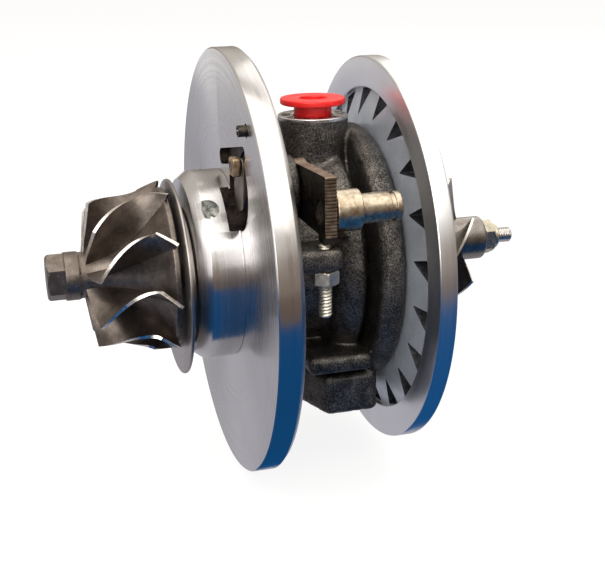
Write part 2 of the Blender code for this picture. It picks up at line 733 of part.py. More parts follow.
def turbine_hub_line(share):
    """Station and radius of the wheel's concave hub, from the back disc to the outlet."""
    station = mix(TURBINE_BACK_STATION - TURBINE_DISC_THICKNESS, TURBINE_EXIT_HUB_STATION, share)
    rise = (1.0 - share) ** TURBINE_HUB_POWER
    return station, mix(TURBINE_EXIT_HUB_RADIUS, TURBINE_DISC_RADIUS, rise)


def turbine_blade_point(along, out, first_angle):
    """along runs from inlet to outlet, out from the hub to the tip."""
    station, radius = turbine_hub_line(along)
    foot_share = (1.0 - along) ** 8.0
    root_station = mix(station + BLADE_ROOT_DEPTH, TURBINE_BACK_STATION - BLADE_FOOT_DEPTH, foot_share)
    root_radius = mix(radius - BLADE_ROOT_DEPTH, TURBINE_FOOT_RADIUS, foot_share)
    root_angle = mix(TURBINE_FOOT_ANGLE, TURBINE_EXIT_ANGLE, along ** TURBINE_HUB_SWEEP)
    tip_station = mix(TURBINE_CORNER_STATION, TURBINE_EXIT_TIP_STATION, along)
    tip_radius = mix(TURBINE_CORNER_RADIUS, TURBINE_EXIT_TIP_RADIUS, along ** TURBINE_SHROUD_POWER)
    tip_angle = mix(TURBINE_CORNER_ANGLE, TURBINE_EXIT_ANGLE, along ** TURBINE_TIP_SWEEP)
    return polar(
        mix(root_station, tip_station, out),
        mix(root_radius, tip_radius, out),
        first_angle + mix(root_angle, tip_angle, out),
    )


def blade_row(name, count, point, steps_along, steps_out, thickness, first=0.0, start=0.0):
    """All blades of one row: grids bent onto the blade surface and thickened by Solidify."""
    bm = bmesh.new()
    for blade in range(count):
        turn = first + blade * FULL_TURN / count
        grid = bmesh.ops.create_grid(bm, x_segments=steps_along, y_segments=steps_out, size=0.5)
        for vert in grid["verts"]:
            along = mix(start, 1.0, vert.co.x + 0.5)
            vert.co = point(along, vert.co.y + 0.5, turn)
    obj = add_object(name, mesh_from(name, bm))
    skin = obj.modifiers.new("Thickness", "SOLIDIFY")
    skin.thickness = thickness
    skin.offset = 0.0
    return obj


def make_turbine_wheel(look):
    hub = [turbine_hub_line(step / 8.0) for step in range(9)]
    collar_end = NOSE_STATION + NOSE_HEX_LENGTH
    profile = [
        (TURBINE_BACK_STATION, 0.0),
        (TURBINE_BACK_STATION, TURBINE_DISC_RADIUS),
        *hub,
        (TURBINE_EXIT_HUB_STATION - NOSE_COLLAR_STEP, NOSE_COLLAR_RADIUS),
        (collar_end, NOSE_COLLAR_RADIUS),
        (collar_end, 0.0),
    ]
    wheel = turned("turbine_wheel", profile, look, ROTOR_SEGMENTS)
    nose = add_object(
        "turbine_nose_hex",
        hexagon_mesh("turbine_nose_hex", NOSE_HEX_FLATS, NOSE_STATION, collar_end + JOIN_DEPTH),
    )
    blades = blade_row(
        "turbine_blades", TURBINE_BLADES, turbine_blade_point, 9, 3, TURBINE_BLADE_THICKNESS,
    )
    join(wheel, nose, blades)
    return wheel


def make_shaft(look):
    """The shaft is friction-welded to the wheel's back and steps down to the wheel's thread."""
    start = TURBINE_BACK_STATION + CLEARANCE
    ring_start = TURBINE_RING_STATION
    ring_end = TURBINE_RING_STATION + PISTON_RING_WIDTH + 2.0 * CLEARANCE
    groove = SHAFT_SEAL_RADIUS - PISTON_RING_DEPTH
    journal_end = THRUST_STATION - CLEARANCE
    thread_start = COMPRESSOR_NOSE_STATION - SHAFT_THREAD_LEAD
    profile = [
        (SHAFT_END_STATION, 0.0),
        (SHAFT_END_STATION, SHAFT_THREAD_RADIUS - SMALL_EDGE),
        (SHAFT_END_STATION - SMALL_EDGE, SHAFT_THREAD_RADIUS),
        (thread_start, SHAFT_THREAD_RADIUS),
        (thread_start, SHAFT_STUB_RADIUS),
        (journal_end, SHAFT_STUB_RADIUS),
        (journal_end, SHAFT_JOURNAL_RADIUS),
        (SHAFT_SEAL_END + 2.0 * CLEARANCE, SHAFT_JOURNAL_RADIUS),
        (SHAFT_SEAL_END - SHAFT_NECK_STEP, SHAFT_JOURNAL_RADIUS + SHAFT_NECK_STEP),
        (SHAFT_SEAL_END - SHAFT_NECK_STEP, SHAFT_SEAL_RADIUS),
        (ring_end, SHAFT_SEAL_RADIUS),
        (ring_end, groove),
        (ring_start, groove),
        (ring_start, SHAFT_SEAL_RADIUS),
        (start, SHAFT_SEAL_RADIUS),
        (start, 0.0),
    ]
    return turned("rotor_shaft", profile, look, 32)


def make_piston_ring(name, station, inner, outer, look):
    """A split ring: a plain ring with a narrow gap cut through it at the top."""
    start = station + CLEARANCE
    ring = turned(name, ring_profile(start, start + PISTON_RING_WIDTH, inner, outer), look, 32)
    half = outer * math.tan(PISTON_RING_GAP_ANGLE / 2.0)
    low = (start - CUT_MARGIN, -half, 0.0)
    high = (start + PISTON_RING_WIDTH + CUT_MARGIN, half, outer + CUT_MARGIN)
    gap = add_object(f"{name}_gap", box_mesh(f"{name}_gap", low, high))
    cut(ring, gap)
    return ring


def make_journal_bearing(name, start, look):
    """A floating bronze bush with a row of oil holes round its middle."""
    inner = SHAFT_JOURNAL_RADIUS + BEARING_FILM
    outer = inner + BEARING_WALL
    bush = turned(name, ring_profile(start, start + BEARING_LENGTH, inner, outer), look, 32)
    for quarter in range(2):
        drill = cylinder(
            f"{name}_oil_hole_{quarter}", -outer - CUT_MARGIN, outer + CUT_MARGIN,
            BEARING_OIL_HOLE_RADIUS, segments=8, at=(start + BEARING_LENGTH / 2.0, 0.0, 0.0), upright=True,
        )
        drill.rotation_euler = (math.pi / 4.0 + quarter * math.pi / 2.0, 0.0, 0.0)
        cut(bush, drill)
    return bush


def make_bearings(bronze, steel):
    first = TURBINE_BEARING_STATION
    second = THRUST_RECESS_STATION - CLEARANCE - BEARING_LENGTH
    make_journal_bearing("turbine_journal_bearing", first, bronze)
    make_journal_bearing("compressor_journal_bearing", second, bronze)
    outer = BEARING_BORE_RADIUS - CLEARANCE
    spacer = turned(
        "bearing_spacer",
        ring_profile(
            first + BEARING_LENGTH + CLEARANCE, second - CLEARANCE, outer - BEARING_SPACER_WALL,
            outer,
        ),
        steel, 32,
    )
    drill = cylinder(
        "spacer_oil_holes", -outer - CUT_MARGIN, outer + CUT_MARGIN, SPACER_OIL_HOLE_RADIUS, segments=12,
        at=((first + BEARING_LENGTH + second) / 2.0, 0.0, 0.0), upright=True,
    )
    cut(spacer, drill)


def make_thrust_parts(bronze, steel):
    """Collar on the shaft, bronze plate round its neck, oil deflector and the flinger sleeve."""
    neck_start = THRUST_STATION + 0.5 * (THRUST_COLLAR_LENGTH - THRUST_PLATE_THICKNESS)
    plate_start = neck_start + CLEARANCE
    neck_length = THRUST_PLATE_THICKNESS + 2.0 * CLEARANCE
    bore = SHAFT_STUB_RADIUS + CLEARANCE
    collar_end = neck_start + neck_length
    collar = turned(
        "thrust_collar",
        [
            (collar_end, THRUST_NECK_RADIUS),
            (neck_start, THRUST_NECK_RADIUS),
            (neck_start, THRUST_COLLAR_RADIUS),
            (THRUST_STATION, THRUST_COLLAR_RADIUS),
            (THRUST_STATION, bore),
            (collar_end, bore),
        ],
        steel, 24,
    )
    plate_end = plate_start + THRUST_PLATE_THICKNESS
    plate = turned(
        "thrust_bearing",
        ring_profile(
            plate_start, plate_end, THRUST_NECK_RADIUS + CLEARANCE,
            THRUST_RECESS_RADIUS - CLEARANCE,
        ),
        bronze, 36,
    )
    pad_radius = (THRUST_NECK_RADIUS + THRUST_COLLAR_RADIUS) / 2.0
    for pad in range(THRUST_PAD_COUNT):
        angle = FULL_TURN * (pad + 0.5) / THRUST_PAD_COUNT
        groove = cylinder(
            f"thrust_pad_groove_{pad}", plate_start - CUT_MARGIN, plate_start + THRUST_PAD_DEPTH,
            THRUST_GROOVE_RADIUS, segments=8, at=polar(0.0, pad_radius, angle),
        )
        cut(plate, groove)
    deflector_start = plate_end + CLEARANCE
    deflector_end = deflector_start + DEFLECTOR_THICKNESS
    turned(
        "oil_deflector",
        ring_profile(
            deflector_start, deflector_end, FLINGER_RIM_RADIUS + CLEARANCE,
            THRUST_RECESS_RADIUS - CLEARANCE,
        ),
        steel, 36,
    )
    make_flinger(collar_end, bore, steel)
    return collar


def make_flinger(start, bore, steel):
    first = start + CLEARANCE
    rim_end = first + FLINGER_RIM_THICKNESS
    ring_start = PLATE_FACE + COMPRESSOR_RING_SET_BACK
    ring_end = ring_start + PISTON_RING_WIDTH + 2.0 * CLEARANCE
    groove = FLINGER_RADIUS - PISTON_RING_DEPTH
    end = COMPRESSOR_BACK - CLEARANCE
    turned(
        "oil_flinger",
        [
            (end, FLINGER_RADIUS),
            (ring_end, FLINGER_RADIUS),
            (ring_end, groove),
            (ring_start, groove),
            (ring_start, FLINGER_RADIUS),
            (rim_end, FLINGER_RADIUS),
            (rim_end, FLINGER_RIM_RADIUS),
            (first, FLINGER_RIM_RADIUS),
            (first, bore),
            (end, bore),
        ],
        steel, 32,
    )
    make_piston_ring(
        "compressor_piston_ring", ring_start, groove + CLEARANCE, FLINGER_RADIUS, steel,
    )


# Backplate


def make_pocket(index):
    """A deep three-cornered pocket between two swirled ribs, its point towards the axis."""
    middle = POCKET_FIRST_ANGLE + index * FULL_TURN / BACKPLATE_POCKETS
    half = POCKET_HALF_WIDTH / BACKPLATE_RECESS_RADIUS
    corners = [
        (POCKET_APEX_RADIUS, middle + POCKET_SWIRL),
        (BACKPLATE_RECESS_RADIUS - CLEARANCE, middle - half),
        (BACKPLATE_RECESS_RADIUS - CLEARANCE, middle + half),
    ]
    points = [polar(0.0, radius, angle) for radius, angle in corners]
    outline = [(point.y, point.z) for point in points]
    name = f"backplate_pocket_{index:02d}"
    return prism_mesh(name, outline, RIM_FRONT - BACKPLATE_SET_BACK, POCKET_FLOOR)


def merged_cutter(name, meshes):
    bm = bmesh.new()
    for mesh in meshes:
        bm.from_mesh(mesh)
    return add_object(name, mesh_from(name, bm))


def make_backplate(look):
    cone_end = PLATE_FACE + BACKPLATE_CONE_DROP
    profile = [
        (RIM_REAR, BACKPLATE_RADIUS - BROKEN_EDGE),
        (RIM_REAR - BROKEN_EDGE, BACKPLATE_RADIUS),
        (RIM_FRONT + BROKEN_EDGE, BACKPLATE_RADIUS),
        (RIM_FRONT, BACKPLATE_RADIUS - BROKEN_EDGE),
        (RIM_FRONT, BACKPLATE_RECESS_RADIUS),
        (cone_end, BACKPLATE_RECESS_RADIUS),
        (PLATE_FACE, BACKPLATE_CONE_RADIUS),
        (PLATE_FACE, SPIGOT_RADIUS),
        (SPIGOT_END, SPIGOT_RADIUS),
        (SPIGOT_END, FLINGER_BORE_RADIUS),
        (WHEEL_POCKET_FLOOR, FLINGER_BORE_RADIUS),
        (WHEEL_POCKET_FLOOR, COMPRESSOR_RADIUS + COMPRESSOR_BACK_GAP),
        (RIM_REAR, COMPRESSOR_RADIUS + COMPRESSOR_BACK_GAP),
    ]
    plate = turned("backplate", profile, look, HOUSING_SEGMENTS)
    pockets = merged_cutter("rib_pockets", [make_pocket(i) for i in range(BACKPLATE_POCKETS)])
    cut(plate, pockets, seal_groove())
    cut(plate, *screw_cutters("plate", SCREW_RADIUS + CLEARANCE), *head_cutters())
    return plate


def seal_groove():
    """The groove round the spigot that holds the rubber ring."""
    width = 2.0 * (SEAL_RING_RADIUS + CLEARANCE)
    start = SPIGOT_END + SMALL_EDGE
    floor = SPIGOT_RADIUS - width + CLEARANCE
    outer = SPIGOT_RADIUS + CUT_MARGIN
    return turned("seal_groove", ring_profile(start, start + width, floor, outer), None, 48)


def make_seal_ring(look):
    middle_station = SPIGOT_END + SMALL_EDGE + SEAL_RING_RADIUS + CLEARANCE
    middle_radius = SPIGOT_RADIUS - SEAL_RING_RADIUS
    turns = [FULL_TURN * step / 8.0 for step in range(8)]
    profile = [
        (
            middle_station + SEAL_RING_RADIUS * math.cos(turn),
            middle_radius + SEAL_RING_RADIUS * math.sin(turn),
        )
        for turn in turns
    ]
    return turned("backplate_seal_ring", profile, look, 28)


def screw_places():
    return [
        polar(0.0, SCREW_CIRCLE_RADIUS, SCREW_FIRST_ANGLE + FULL_TURN * index / BACKPLATE_SCREWS)
        for index in range(BACKPLATE_SCREWS)
    ]


def screw_cutters(owner, radius):
    bottom = RIM_REAR - SCREW_HEAD_THICKNESS - SCREW_LENGTH - CLEARANCE
    return [
        cylinder(
            f"{owner}_screw_hole_{index}", bottom, RIM_REAR + CUT_MARGIN, radius, segments=16,
            at=place,
        )
        for index, place in enumerate(screw_places())
    ]


def head_cutters():
    seat = RIM_REAR - SCREW_HEAD_THICKNESS - 2.0 * CLEARANCE
    return [
        cylinder(
            f"screw_counterbore_{index}", seat, RIM_REAR + CUT_MARGIN,
            SCREW_HEAD_RADIUS + CLEARANCE, segments=24, at=place,
        )
        for index, place in enumerate(screw_places())
    ]


def make_backplate_screws(look):
    """Four socket screws, put in from the compressor side."""
    top = RIM_REAR - CLEARANCE
    seat = top - SCREW_HEAD_THICKNESS
    bottom = seat - SCREW_LENGTH
    profile = [
        (top, 0.0),
        (top, SCREW_HEAD_RADIUS - SMALL_EDGE),
        (top - SMALL_EDGE, SCREW_HEAD_RADIUS),
        (seat, SCREW_HEAD_RADIUS),
        (seat, SCREW_RADIUS),
        (bottom + SMALL_EDGE, SCREW_RADIUS),
        (bottom, SCREW_RADIUS - SMALL_EDGE),
        (bottom, 0.0),
    ]
    for index, place in enumerate(screw_places(), start=1):
        screw = turned(f"backplate_screw_{index}", profile, look, 20, place)
        name = f"screw_socket_{index}"
        mesh = hexagon_mesh(name, SCREW_DRIVE_FLATS, top - SCREW_DRIVE_DEPTH, top + CUT_MARGIN)
        cut(screw, add_object(name, mesh, None, place))


# Compressor wheel and nut


def quarter_line(along, inlet, outlet):
    """A quarter-ellipse from an axial inlet (station, radius) to a radial outlet."""
    turn = along * math.pi / 2.0
    station = mix(inlet[0], outlet[0], math.sin(turn))
    radius = mix(inlet[1], outlet[1], 1.0 - math.cos(turn))
    return station, radius


def compressor_hub_line(along):
    outlet_station = COMPRESSOR_BACK + COMPRESSOR_DISC_THICKNESS
    hub_inlet = (COMPRESSOR_INLET_STATION + COMPRESSOR_HUB_LEAD, COMPRESSOR_HUB_RADIUS)
    return quarter_line(along, hub_inlet, (outlet_station, COMPRESSOR_RADIUS))


def compressor_blade_point(along, out, first_angle):
    hub_station, hub_radius = compressor_hub_line(along)
    tip_outlet = COMPRESSOR_BACK + COMPRESSOR_DISC_THICKNESS + COMPRESSOR_EXIT_WIDTH
    tip_inlet = (COMPRESSOR_INLET_STATION, COMPRESSOR_INLET_RADIUS)
    tip_station, tip_radius = quarter_line(along, tip_inlet, (tip_outlet, COMPRESSOR_RADIUS))
    lean = math.cos(along * math.pi / 2.0)
    root_station = hub_station - BLADE_ROOT_DEPTH * (1.0 - lean)
    root_radius = hub_radius - BLADE_ROOT_DEPTH * lean
    sweep = 1.0 - (1.0 - along) ** COMPRESSOR_SWEEP
    angle = COMPRESSOR_INLET_ANGLE - COMPRESSOR_WRAP * sweep
    return polar(
        mix(root_station, tip_station, out), mix(root_radius, tip_radius, out), first_angle + angle
    )


def make_compressor_wheel(look):
    hub = [compressor_hub_line(1.0 - step / 7.0) for step in range(8)]
    bore = SHAFT_STUB_RADIUS + CLEARANCE
    nose_round = COMPRESSOR_NOSE_ROUND
    profile = [
        (COMPRESSOR_NOSE_STATION, COMPRESSOR_HUB_RADIUS - nose_round),
        (COMPRESSOR_NOSE_STATION - nose_round, COMPRESSOR_HUB_RADIUS),
        *reversed(hub),
        (COMPRESSOR_BACK, COMPRESSOR_RADIUS),
        (COMPRESSOR_BACK, bore),
        (COMPRESSOR_NOSE_STATION, bore),
    ]
    wheel = turned("compressor_wheel", profile, look, ROTOR_SEGMENTS)
    rows = [
        blade_row(
            "compressor_full_blades", COMPRESSOR_BLADES, compressor_blade_point, 8, 2,
            COMPRESSOR_BLADE_THICKNESS,
        ),
        blade_row(
            "compressor_splitters", COMPRESSOR_BLADES, compressor_blade_point, 6, 2,
            COMPRESSOR_BLADE_THICKNESS, first=math.pi / COMPRESSOR_BLADES, start=SPLITTER_START,
        ),
    ]
    join(wheel, *rows)
    return wheel


def make_compressor_nut(look):
    hex_end = NUT_STATION + NUT_HEX_LENGTH
    collar_end = hex_end + NUT_COLLAR_LENGTH
    mesh = hexagon_mesh("compressor_nut", NUT_HEX_FLATS, NUT_STATION, hex_end)
    nut = add_object("compressor_nut", mesh, look)
    collar = cylinder(
        "nut_collar", NUT_STATION + 0.5 * NUT_HEX_LENGTH, collar_end, NUT_COLLAR_RADIUS, segments=24,
    )
    join(nut, collar)
    bore = cylinder(
        "nut_bore", NUT_STATION - CUT_MARGIN, collar_end + CUT_MARGIN,
        SHAFT_THREAD_RADIUS + CLEARANCE, segments=24,
    )
    cut(nut, bore)
    return nut


# Cap on the oil inlet


def make_cap(look):
    """A moulded plug: stem in the port, flange above it and a hollow open to the top. The
    profile runs from the hollow's floor down the axis and round the outside to the hollow."""
    under = INLET_TOP + CAP_STAND_OFF
    top = under + CAP_FLANGE_THICKNESS
    bottom = INLET_TOP - CAP_STEM_DEPTH
    inner = CAP_STEM_RADIUS - CAP_WALL
    profile = [
        (bottom + CAP_WALL, 0.0),
        (bottom + CAP_WALL, inner),
        (top, inner),
        (top, CAP_FLANGE_RADIUS - SMALL_EDGE),
        (top - SMALL_EDGE, CAP_FLANGE_RADIUS),
        (under + SMALL_EDGE, CAP_FLANGE_RADIUS),
        (under, CAP_FLANGE_RADIUS - SMALL_EDGE),
        (under, CAP_STEM_RADIUS),
        (bottom + SMALL_EDGE, CAP_STEM_RADIUS),
        (bottom, CAP_STEM_RADIUS - SMALL_EDGE),
        (bottom, 0.0),
    ]
    return turned(
        "oil_inlet_cap", profile, look, 32, at=(INLET_STATION, 0.0, 0.0), upright=True,
    )


# Vane lever


def block_centre():
    y = SPINDLE_Y + CRANK_RADIUS * math.cos(CRANK_ANGLE)
    z = SPINDLE_Z + CRANK_RADIUS * math.sin(CRANK_ANGLE)
    return y, z


def crank_outline():
    """Tangent-sided outline of the crank about the spindle: a big eye and a small one."""
    eye, tip, reach = CRANK_EYE_RADIUS, CRANK_TIP_RADIUS, CRANK_RADIUS
    slope = math.acos((eye - tip) / reach)
    big = arc((0.0, 0.0), eye, slope, FULL_TURN - slope, 14)
    small = arc((reach, 0.0), tip, -slope, slope, 6)
    turn = Matrix.Rotation(CRANK_ANGLE, 2)
    return [tuple(turn @ Vector(point)) for point in big + small]


def make_crank(look):
    """Spindle, crank arm in the flange's pocket and the pin for the sliding block."""
    pivot = (0.0, SPINDLE_Y, SPINDLE_Z)
    mesh = prism_mesh("crank", crank_outline(), CRANK_ARM_START, CRANK_ARM_END)
    crank = add_object("crank", mesh, look, pivot)
    spindle = cylinder(
        "crank_spindle", CRANK_ARM_END - 0.5 * CRANK_THICKNESS, LEVER_REAR + SPINDLE_PROUD,
        SPINDLE_RADIUS, segments=24, at=pivot,
    )
    block_y, block_z = block_centre()
    pin = cylinder(
        "block_pin", BLOCK_START, CRANK_ARM_END - 0.5 * CRANK_THICKNESS, BLOCK_PIN_RADIUS,
        segments=16, at=(0.0, block_y, block_z),
    )
    join(crank, spindle, pin)
    return crank


def make_block(look):
    """The square bronze block that turns on the crank's pin and engages the vane ring."""
    block_y, block_z = block_centre()
    half = BLOCK_WIDTH / 2.0
    mesh = box_mesh("crank_block", (BLOCK_START, -half, -half), (BLOCK_END, half, half))
    block = add_object("crank_block", mesh, look, (0.0, block_y, block_z))
    bevel(block, SMALL_EDGE)
    bore = cylinder(
        "block_bore", BLOCK_START - CUT_MARGIN, BLOCK_END + CUT_MARGIN,
        BLOCK_PIN_RADIUS + CLEARANCE, segments=16, at=(0.0, block_y, block_z),
    )
    cut(block, bore)
    return block


def make_bush(look):
    inner = SPINDLE_RADIUS + CLEARANCE
    profile = ring_profile(
        CRANK_POCKET_DEPTH + CLEARANCE, SPINDLE_BOSS_END - CLEARANCE, inner, inner + BUSH_WALL
    )
    return turned("crank_bush", profile, look, 24, at=(0.0, SPINDLE_Y, SPINDLE_Z))


def serrated_edge(y, bottom, top):
    """The sheared, serrated end of the lever, from its bottom corner to its top corner."""
    pitch = (top - bottom) / LEVER_SERRATIONS
    points = []
    for tooth in range(LEVER_SERRATIONS):
        base = bottom + tooth * pitch
        points.append((y + LEVER_SERRATION_DEPTH, base))
        points.append((y, base + pitch / 2.0))
    points.append((y + LEVER_SERRATION_DEPTH, top))
    return points


def lever_outline():
    """Outline about the spindle: round eye and a tall straight bar with a serrated end."""
    bottom = -LEVER_END_DROP
    rise = math.asin(LEVER_END_DROP / LEVER_EYE_RADIUS)
    eye = arc((0.0, 0.0), LEVER_EYE_RADIUS, math.pi + rise, 3.0 * math.pi - rise, 20)
    end_edge = serrated_edge(-LEVER_REACH, bottom, bottom + LEVER_END_HEIGHT)
    return [*eye, *reversed(end_edge)]


def lever_foot_bottom():
    return SPINDLE_Z - LEVER_END_DROP - LEVER_FOOT_DROP


def make_lever(look):
    pivot = (0.0, SPINDLE_Y, SPINDLE_Z)
    mesh = prism_mesh("actuator_lever", lever_outline(), LEVER_STATION, LEVER_REAR)
    lever = add_object("actuator_lever", mesh, look, pivot)
    foot_y = STOP_SCREW_Y - SPINDLE_Y
    half_foot = LEVER_FOOT_WIDTH / 2.0
    foot_bottom = lever_foot_bottom() - SPINDLE_Z
    foot_top = foot_bottom + LEVER_FOOT_THICKNESS
    low = (LEVER_STATION, foot_y - half_foot, foot_bottom)
    high = (LEVER_REAR + LEVER_FOOT_REACH, foot_y + half_foot, foot_top)
    foot = add_object("lever_foot", box_mesh("lever_foot", low, high), None, pivot)
    join(lever, foot)
    eye = cylinder(
        "lever_eye_bore", LEVER_STATION - CUT_MARGIN, LEVER_REAR + CUT_MARGIN,
        SPINDLE_RADIUS + CLEARANCE, segments=24, at=pivot,
    )
    seat = cylinder(
        "lever_pin_seat", LEVER_STATION - CUT_MARGIN, LEVER_REAR + CUT_MARGIN,
        LEVER_PIN_RIVET_RADIUS + CLEARANCE, segments=24, at=(0.0, LEVER_PIN_Y, LEVER_PIN_Z),
    )
    cut(lever, eye, seat)
    return lever


def make_lever_pin(look):
    """Riveted pin that the actuator rod hooks onto, with a retaining groove near its tip."""
    boss_start = LEVER_REAR + CLEARANCE
    boss_end = boss_start + LEVER_PIN_BOSS_LENGTH
    pin_end = boss_end + LEVER_PIN_LENGTH
    groove_end = pin_end + LEVER_PIN_GROOVE
    tip = groove_end + LEVER_PIN_TIP
    groove_radius = LEVER_PIN_RADIUS - LEVER_PIN_GROOVE_DEPTH
    rivet_start = LEVER_STATION + LEVER_PIN_RIVET_SET_BACK
    profile = [
        (tip, 0.0),
        (tip, LEVER_PIN_RADIUS - BROKEN_EDGE),
        (tip - BROKEN_EDGE, LEVER_PIN_RADIUS),
        (groove_end, LEVER_PIN_RADIUS),
        (groove_end, groove_radius),
        (pin_end, groove_radius),
        (pin_end, LEVER_PIN_RADIUS),
        (boss_end, LEVER_PIN_RADIUS),
        (boss_end, LEVER_PIN_BOSS_RADIUS),
        (boss_start, LEVER_PIN_BOSS_RADIUS),
        (boss_start, LEVER_PIN_RIVET_RADIUS),
        (rivet_start, LEVER_PIN_RIVET_RADIUS),
        (rivet_start, 0.0),
    ]
    return turned("lever_pin", profile, look, 28, at=(0.0, LEVER_PIN_Y, LEVER_PIN_Z))


# Stop screw, lock nut and dowel


def stop_screw_top():
    return lever_foot_bottom() - CLEARANCE


def make_stop_screw(look):
    place = (STOP_SCREW_STATION, STOP_SCREW_Y, 0.0)
    top = stop_screw_top()
    bottom = top - STOP_SCREW_LENGTH
    profile = [
        (top, 0.0),
        (top, STOP_SCREW_RADIUS - SMALL_EDGE),
        (top - SMALL_EDGE, STOP_SCREW_RADIUS),
        (bottom + SMALL_EDGE, STOP_SCREW_RADIUS),
        (bottom, STOP_SCREW_RADIUS - SMALL_EDGE),
        (bottom, 0.0),
    ]
    return turned("stop_screw", profile, look, 20, at=place, upright=True)


def make_stop_nut(look):
    place = (STOP_SCREW_STATION, STOP_SCREW_Y, 0.0)
    top = LUG_BOTTOM - CLEARANCE
    bottom = top - STOP_NUT_THICKNESS
    mesh = hexagon_mesh("stop_screw_nut", STOP_NUT_FLATS, bottom, top, along="Z")
    nut = add_object("stop_screw_nut", mesh, look, place)
    bore = cylinder(
        "stop_nut_bore", bottom - CUT_MARGIN, top + CUT_MARGIN, STOP_SCREW_RADIUS + CLEARANCE,
        segments=20, at=place, upright=True,
    )
    cut(nut, bore)
    return nut


def make_dowel(look):
    """A rolled spring pin, split along its length."""
    profile = ring_profile(-DOWEL_PROUD, DOWEL_DEPTH, DOWEL_RADIUS - DOWEL_WALL, DOWEL_RADIUS)
    place = (0.0, DOWEL_Y, DOWEL_Z)
    dowel = turned("dowel_pin", profile, look, 20, at=place)
    low = (-DOWEL_PROUD - CUT_MARGIN, 0.0, -0.5 * DOWEL_SLIT)
    high = (DOWEL_DEPTH + CUT_MARGIN, DOWEL_RADIUS + CUT_MARGIN, 0.5 * DOWEL_SLIT)
    slit = add_object("dowel_slit", box_mesh("dowel_slit", low, high), None, place)
    cut(dowel, slit)
    return dowel


# The whole cartridge

for old in list(bpy.data.objects):
    bpy.data.objects.remove(old, do_unlink=True)

PARTS = make_collection("turbo_cartridge")
CUTTERS = make_collection("cutters")
CARTRIDGE = bpy.data.objects.new("cartridge_axis", None)
CARTRIDGE.location = (-MIDDLE_STATION, 0.0, 0.0)
PARTS.objects.link(CARTRIDGE)

CAST_IRON = material("cast_iron", (0.16, 0.155, 0.15), 0.6, 0.7)
MACHINED_STEEL = material("machined_steel", (0.62, 0.61, 0.60), 0.28, 1.0)
WHEEL_ALLOY = material("turbine_alloy", (0.30, 0.28, 0.26), 0.45, 0.9)
PLATED_STEEL = material("plated_steel", (0.66, 0.62, 0.50), 0.35, 1.0)
ALUMINIUM = material("aluminium", (0.72, 0.72, 0.73), 0.3, 1.0)
BRONZE = material("bronze", (0.66, 0.45, 0.24), 0.4, 1.0)
RED_PLASTIC = material("red_plastic", (0.78, 0.03, 0.03), 0.4, 0.0)
RUBBER = material("rubber", (0.03, 0.03, 0.03), 0.8, 0.0)

make_housing(CAST_IRON)
make_heat_shield(MACHINED_STEEL)
make_turbine_wheel(WHEEL_ALLOY)
make_shaft(MACHINED_STEEL)
make_piston_ring(
    "turbine_piston_ring", TURBINE_RING_STATION, SHAFT_SEAL_RADIUS - PISTON_RING_DEPTH + CLEARANCE,
    SHAFT_SEAL_RADIUS, MACHINED_STEEL,
)
make_bearings(BRONZE, MACHINED_STEEL)
make_thrust_parts(BRONZE, MACHINED_STEEL)
make_backplate(ALUMINIUM)
make_seal_ring(RUBBER)
make_backplate_screws(PLATED_STEEL)
make_compressor_wheel(ALUMINIUM)
make_compressor_nut(PLATED_STEEL)
make_cap(RED_PLASTIC)
make_crank(WHEEL_ALLOY)
make_block(BRONZE)
make_bush(BRONZE)
make_lever(WHEEL_ALLOY)
make_lever_pin(PLATED_STEEL)
make_stop_screw(PLATED_STEEL)
make_stop_nut(PLATED_STEEL)
make_dowel(MACHINED_STEEL)
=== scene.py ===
"""Looks of the turbo cartridge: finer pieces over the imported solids, materials, light and camera.

Metres, +Z up, +X towards the compressor. Stations are measured along the rotor's axis from the
turbine-side face of the big flange, as in the solids' source.
"""

import json
import math

import bmesh
import bpy
import numpy as np
from mathutils import Matrix, Vector, noise


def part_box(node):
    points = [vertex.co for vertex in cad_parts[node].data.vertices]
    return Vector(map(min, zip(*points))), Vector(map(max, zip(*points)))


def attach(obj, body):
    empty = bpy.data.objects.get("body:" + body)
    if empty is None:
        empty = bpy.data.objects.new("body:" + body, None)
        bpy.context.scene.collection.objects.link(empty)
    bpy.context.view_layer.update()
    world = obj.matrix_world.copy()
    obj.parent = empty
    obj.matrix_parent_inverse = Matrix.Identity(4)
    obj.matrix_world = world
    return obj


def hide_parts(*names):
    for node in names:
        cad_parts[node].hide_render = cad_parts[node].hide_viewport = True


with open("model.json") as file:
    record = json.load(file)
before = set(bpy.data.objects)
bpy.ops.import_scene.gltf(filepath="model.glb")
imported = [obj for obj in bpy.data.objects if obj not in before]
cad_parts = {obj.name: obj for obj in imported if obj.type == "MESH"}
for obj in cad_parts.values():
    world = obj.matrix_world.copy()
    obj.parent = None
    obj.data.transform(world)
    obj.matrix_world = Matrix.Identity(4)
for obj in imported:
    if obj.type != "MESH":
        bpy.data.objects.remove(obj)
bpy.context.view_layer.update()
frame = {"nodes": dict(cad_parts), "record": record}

MM = 0.001
FULL_TURN = 2.0 * math.pi
DEGREE = math.pi / 180.0
SMOOTH_ANGLE = 35.0 * DEGREE
BEVEL_ANGLE = 40.0 * DEGREE
STRAIGHT_ANGLE = 160.0 * DEGREE
CORNER_SHARE = 0.45
CUT_MARGIN = 1.0 * MM
GAP = 0.3 * MM
WELD_DISTANCE = 0.001 * MM
END_RING = 0.5 * MM

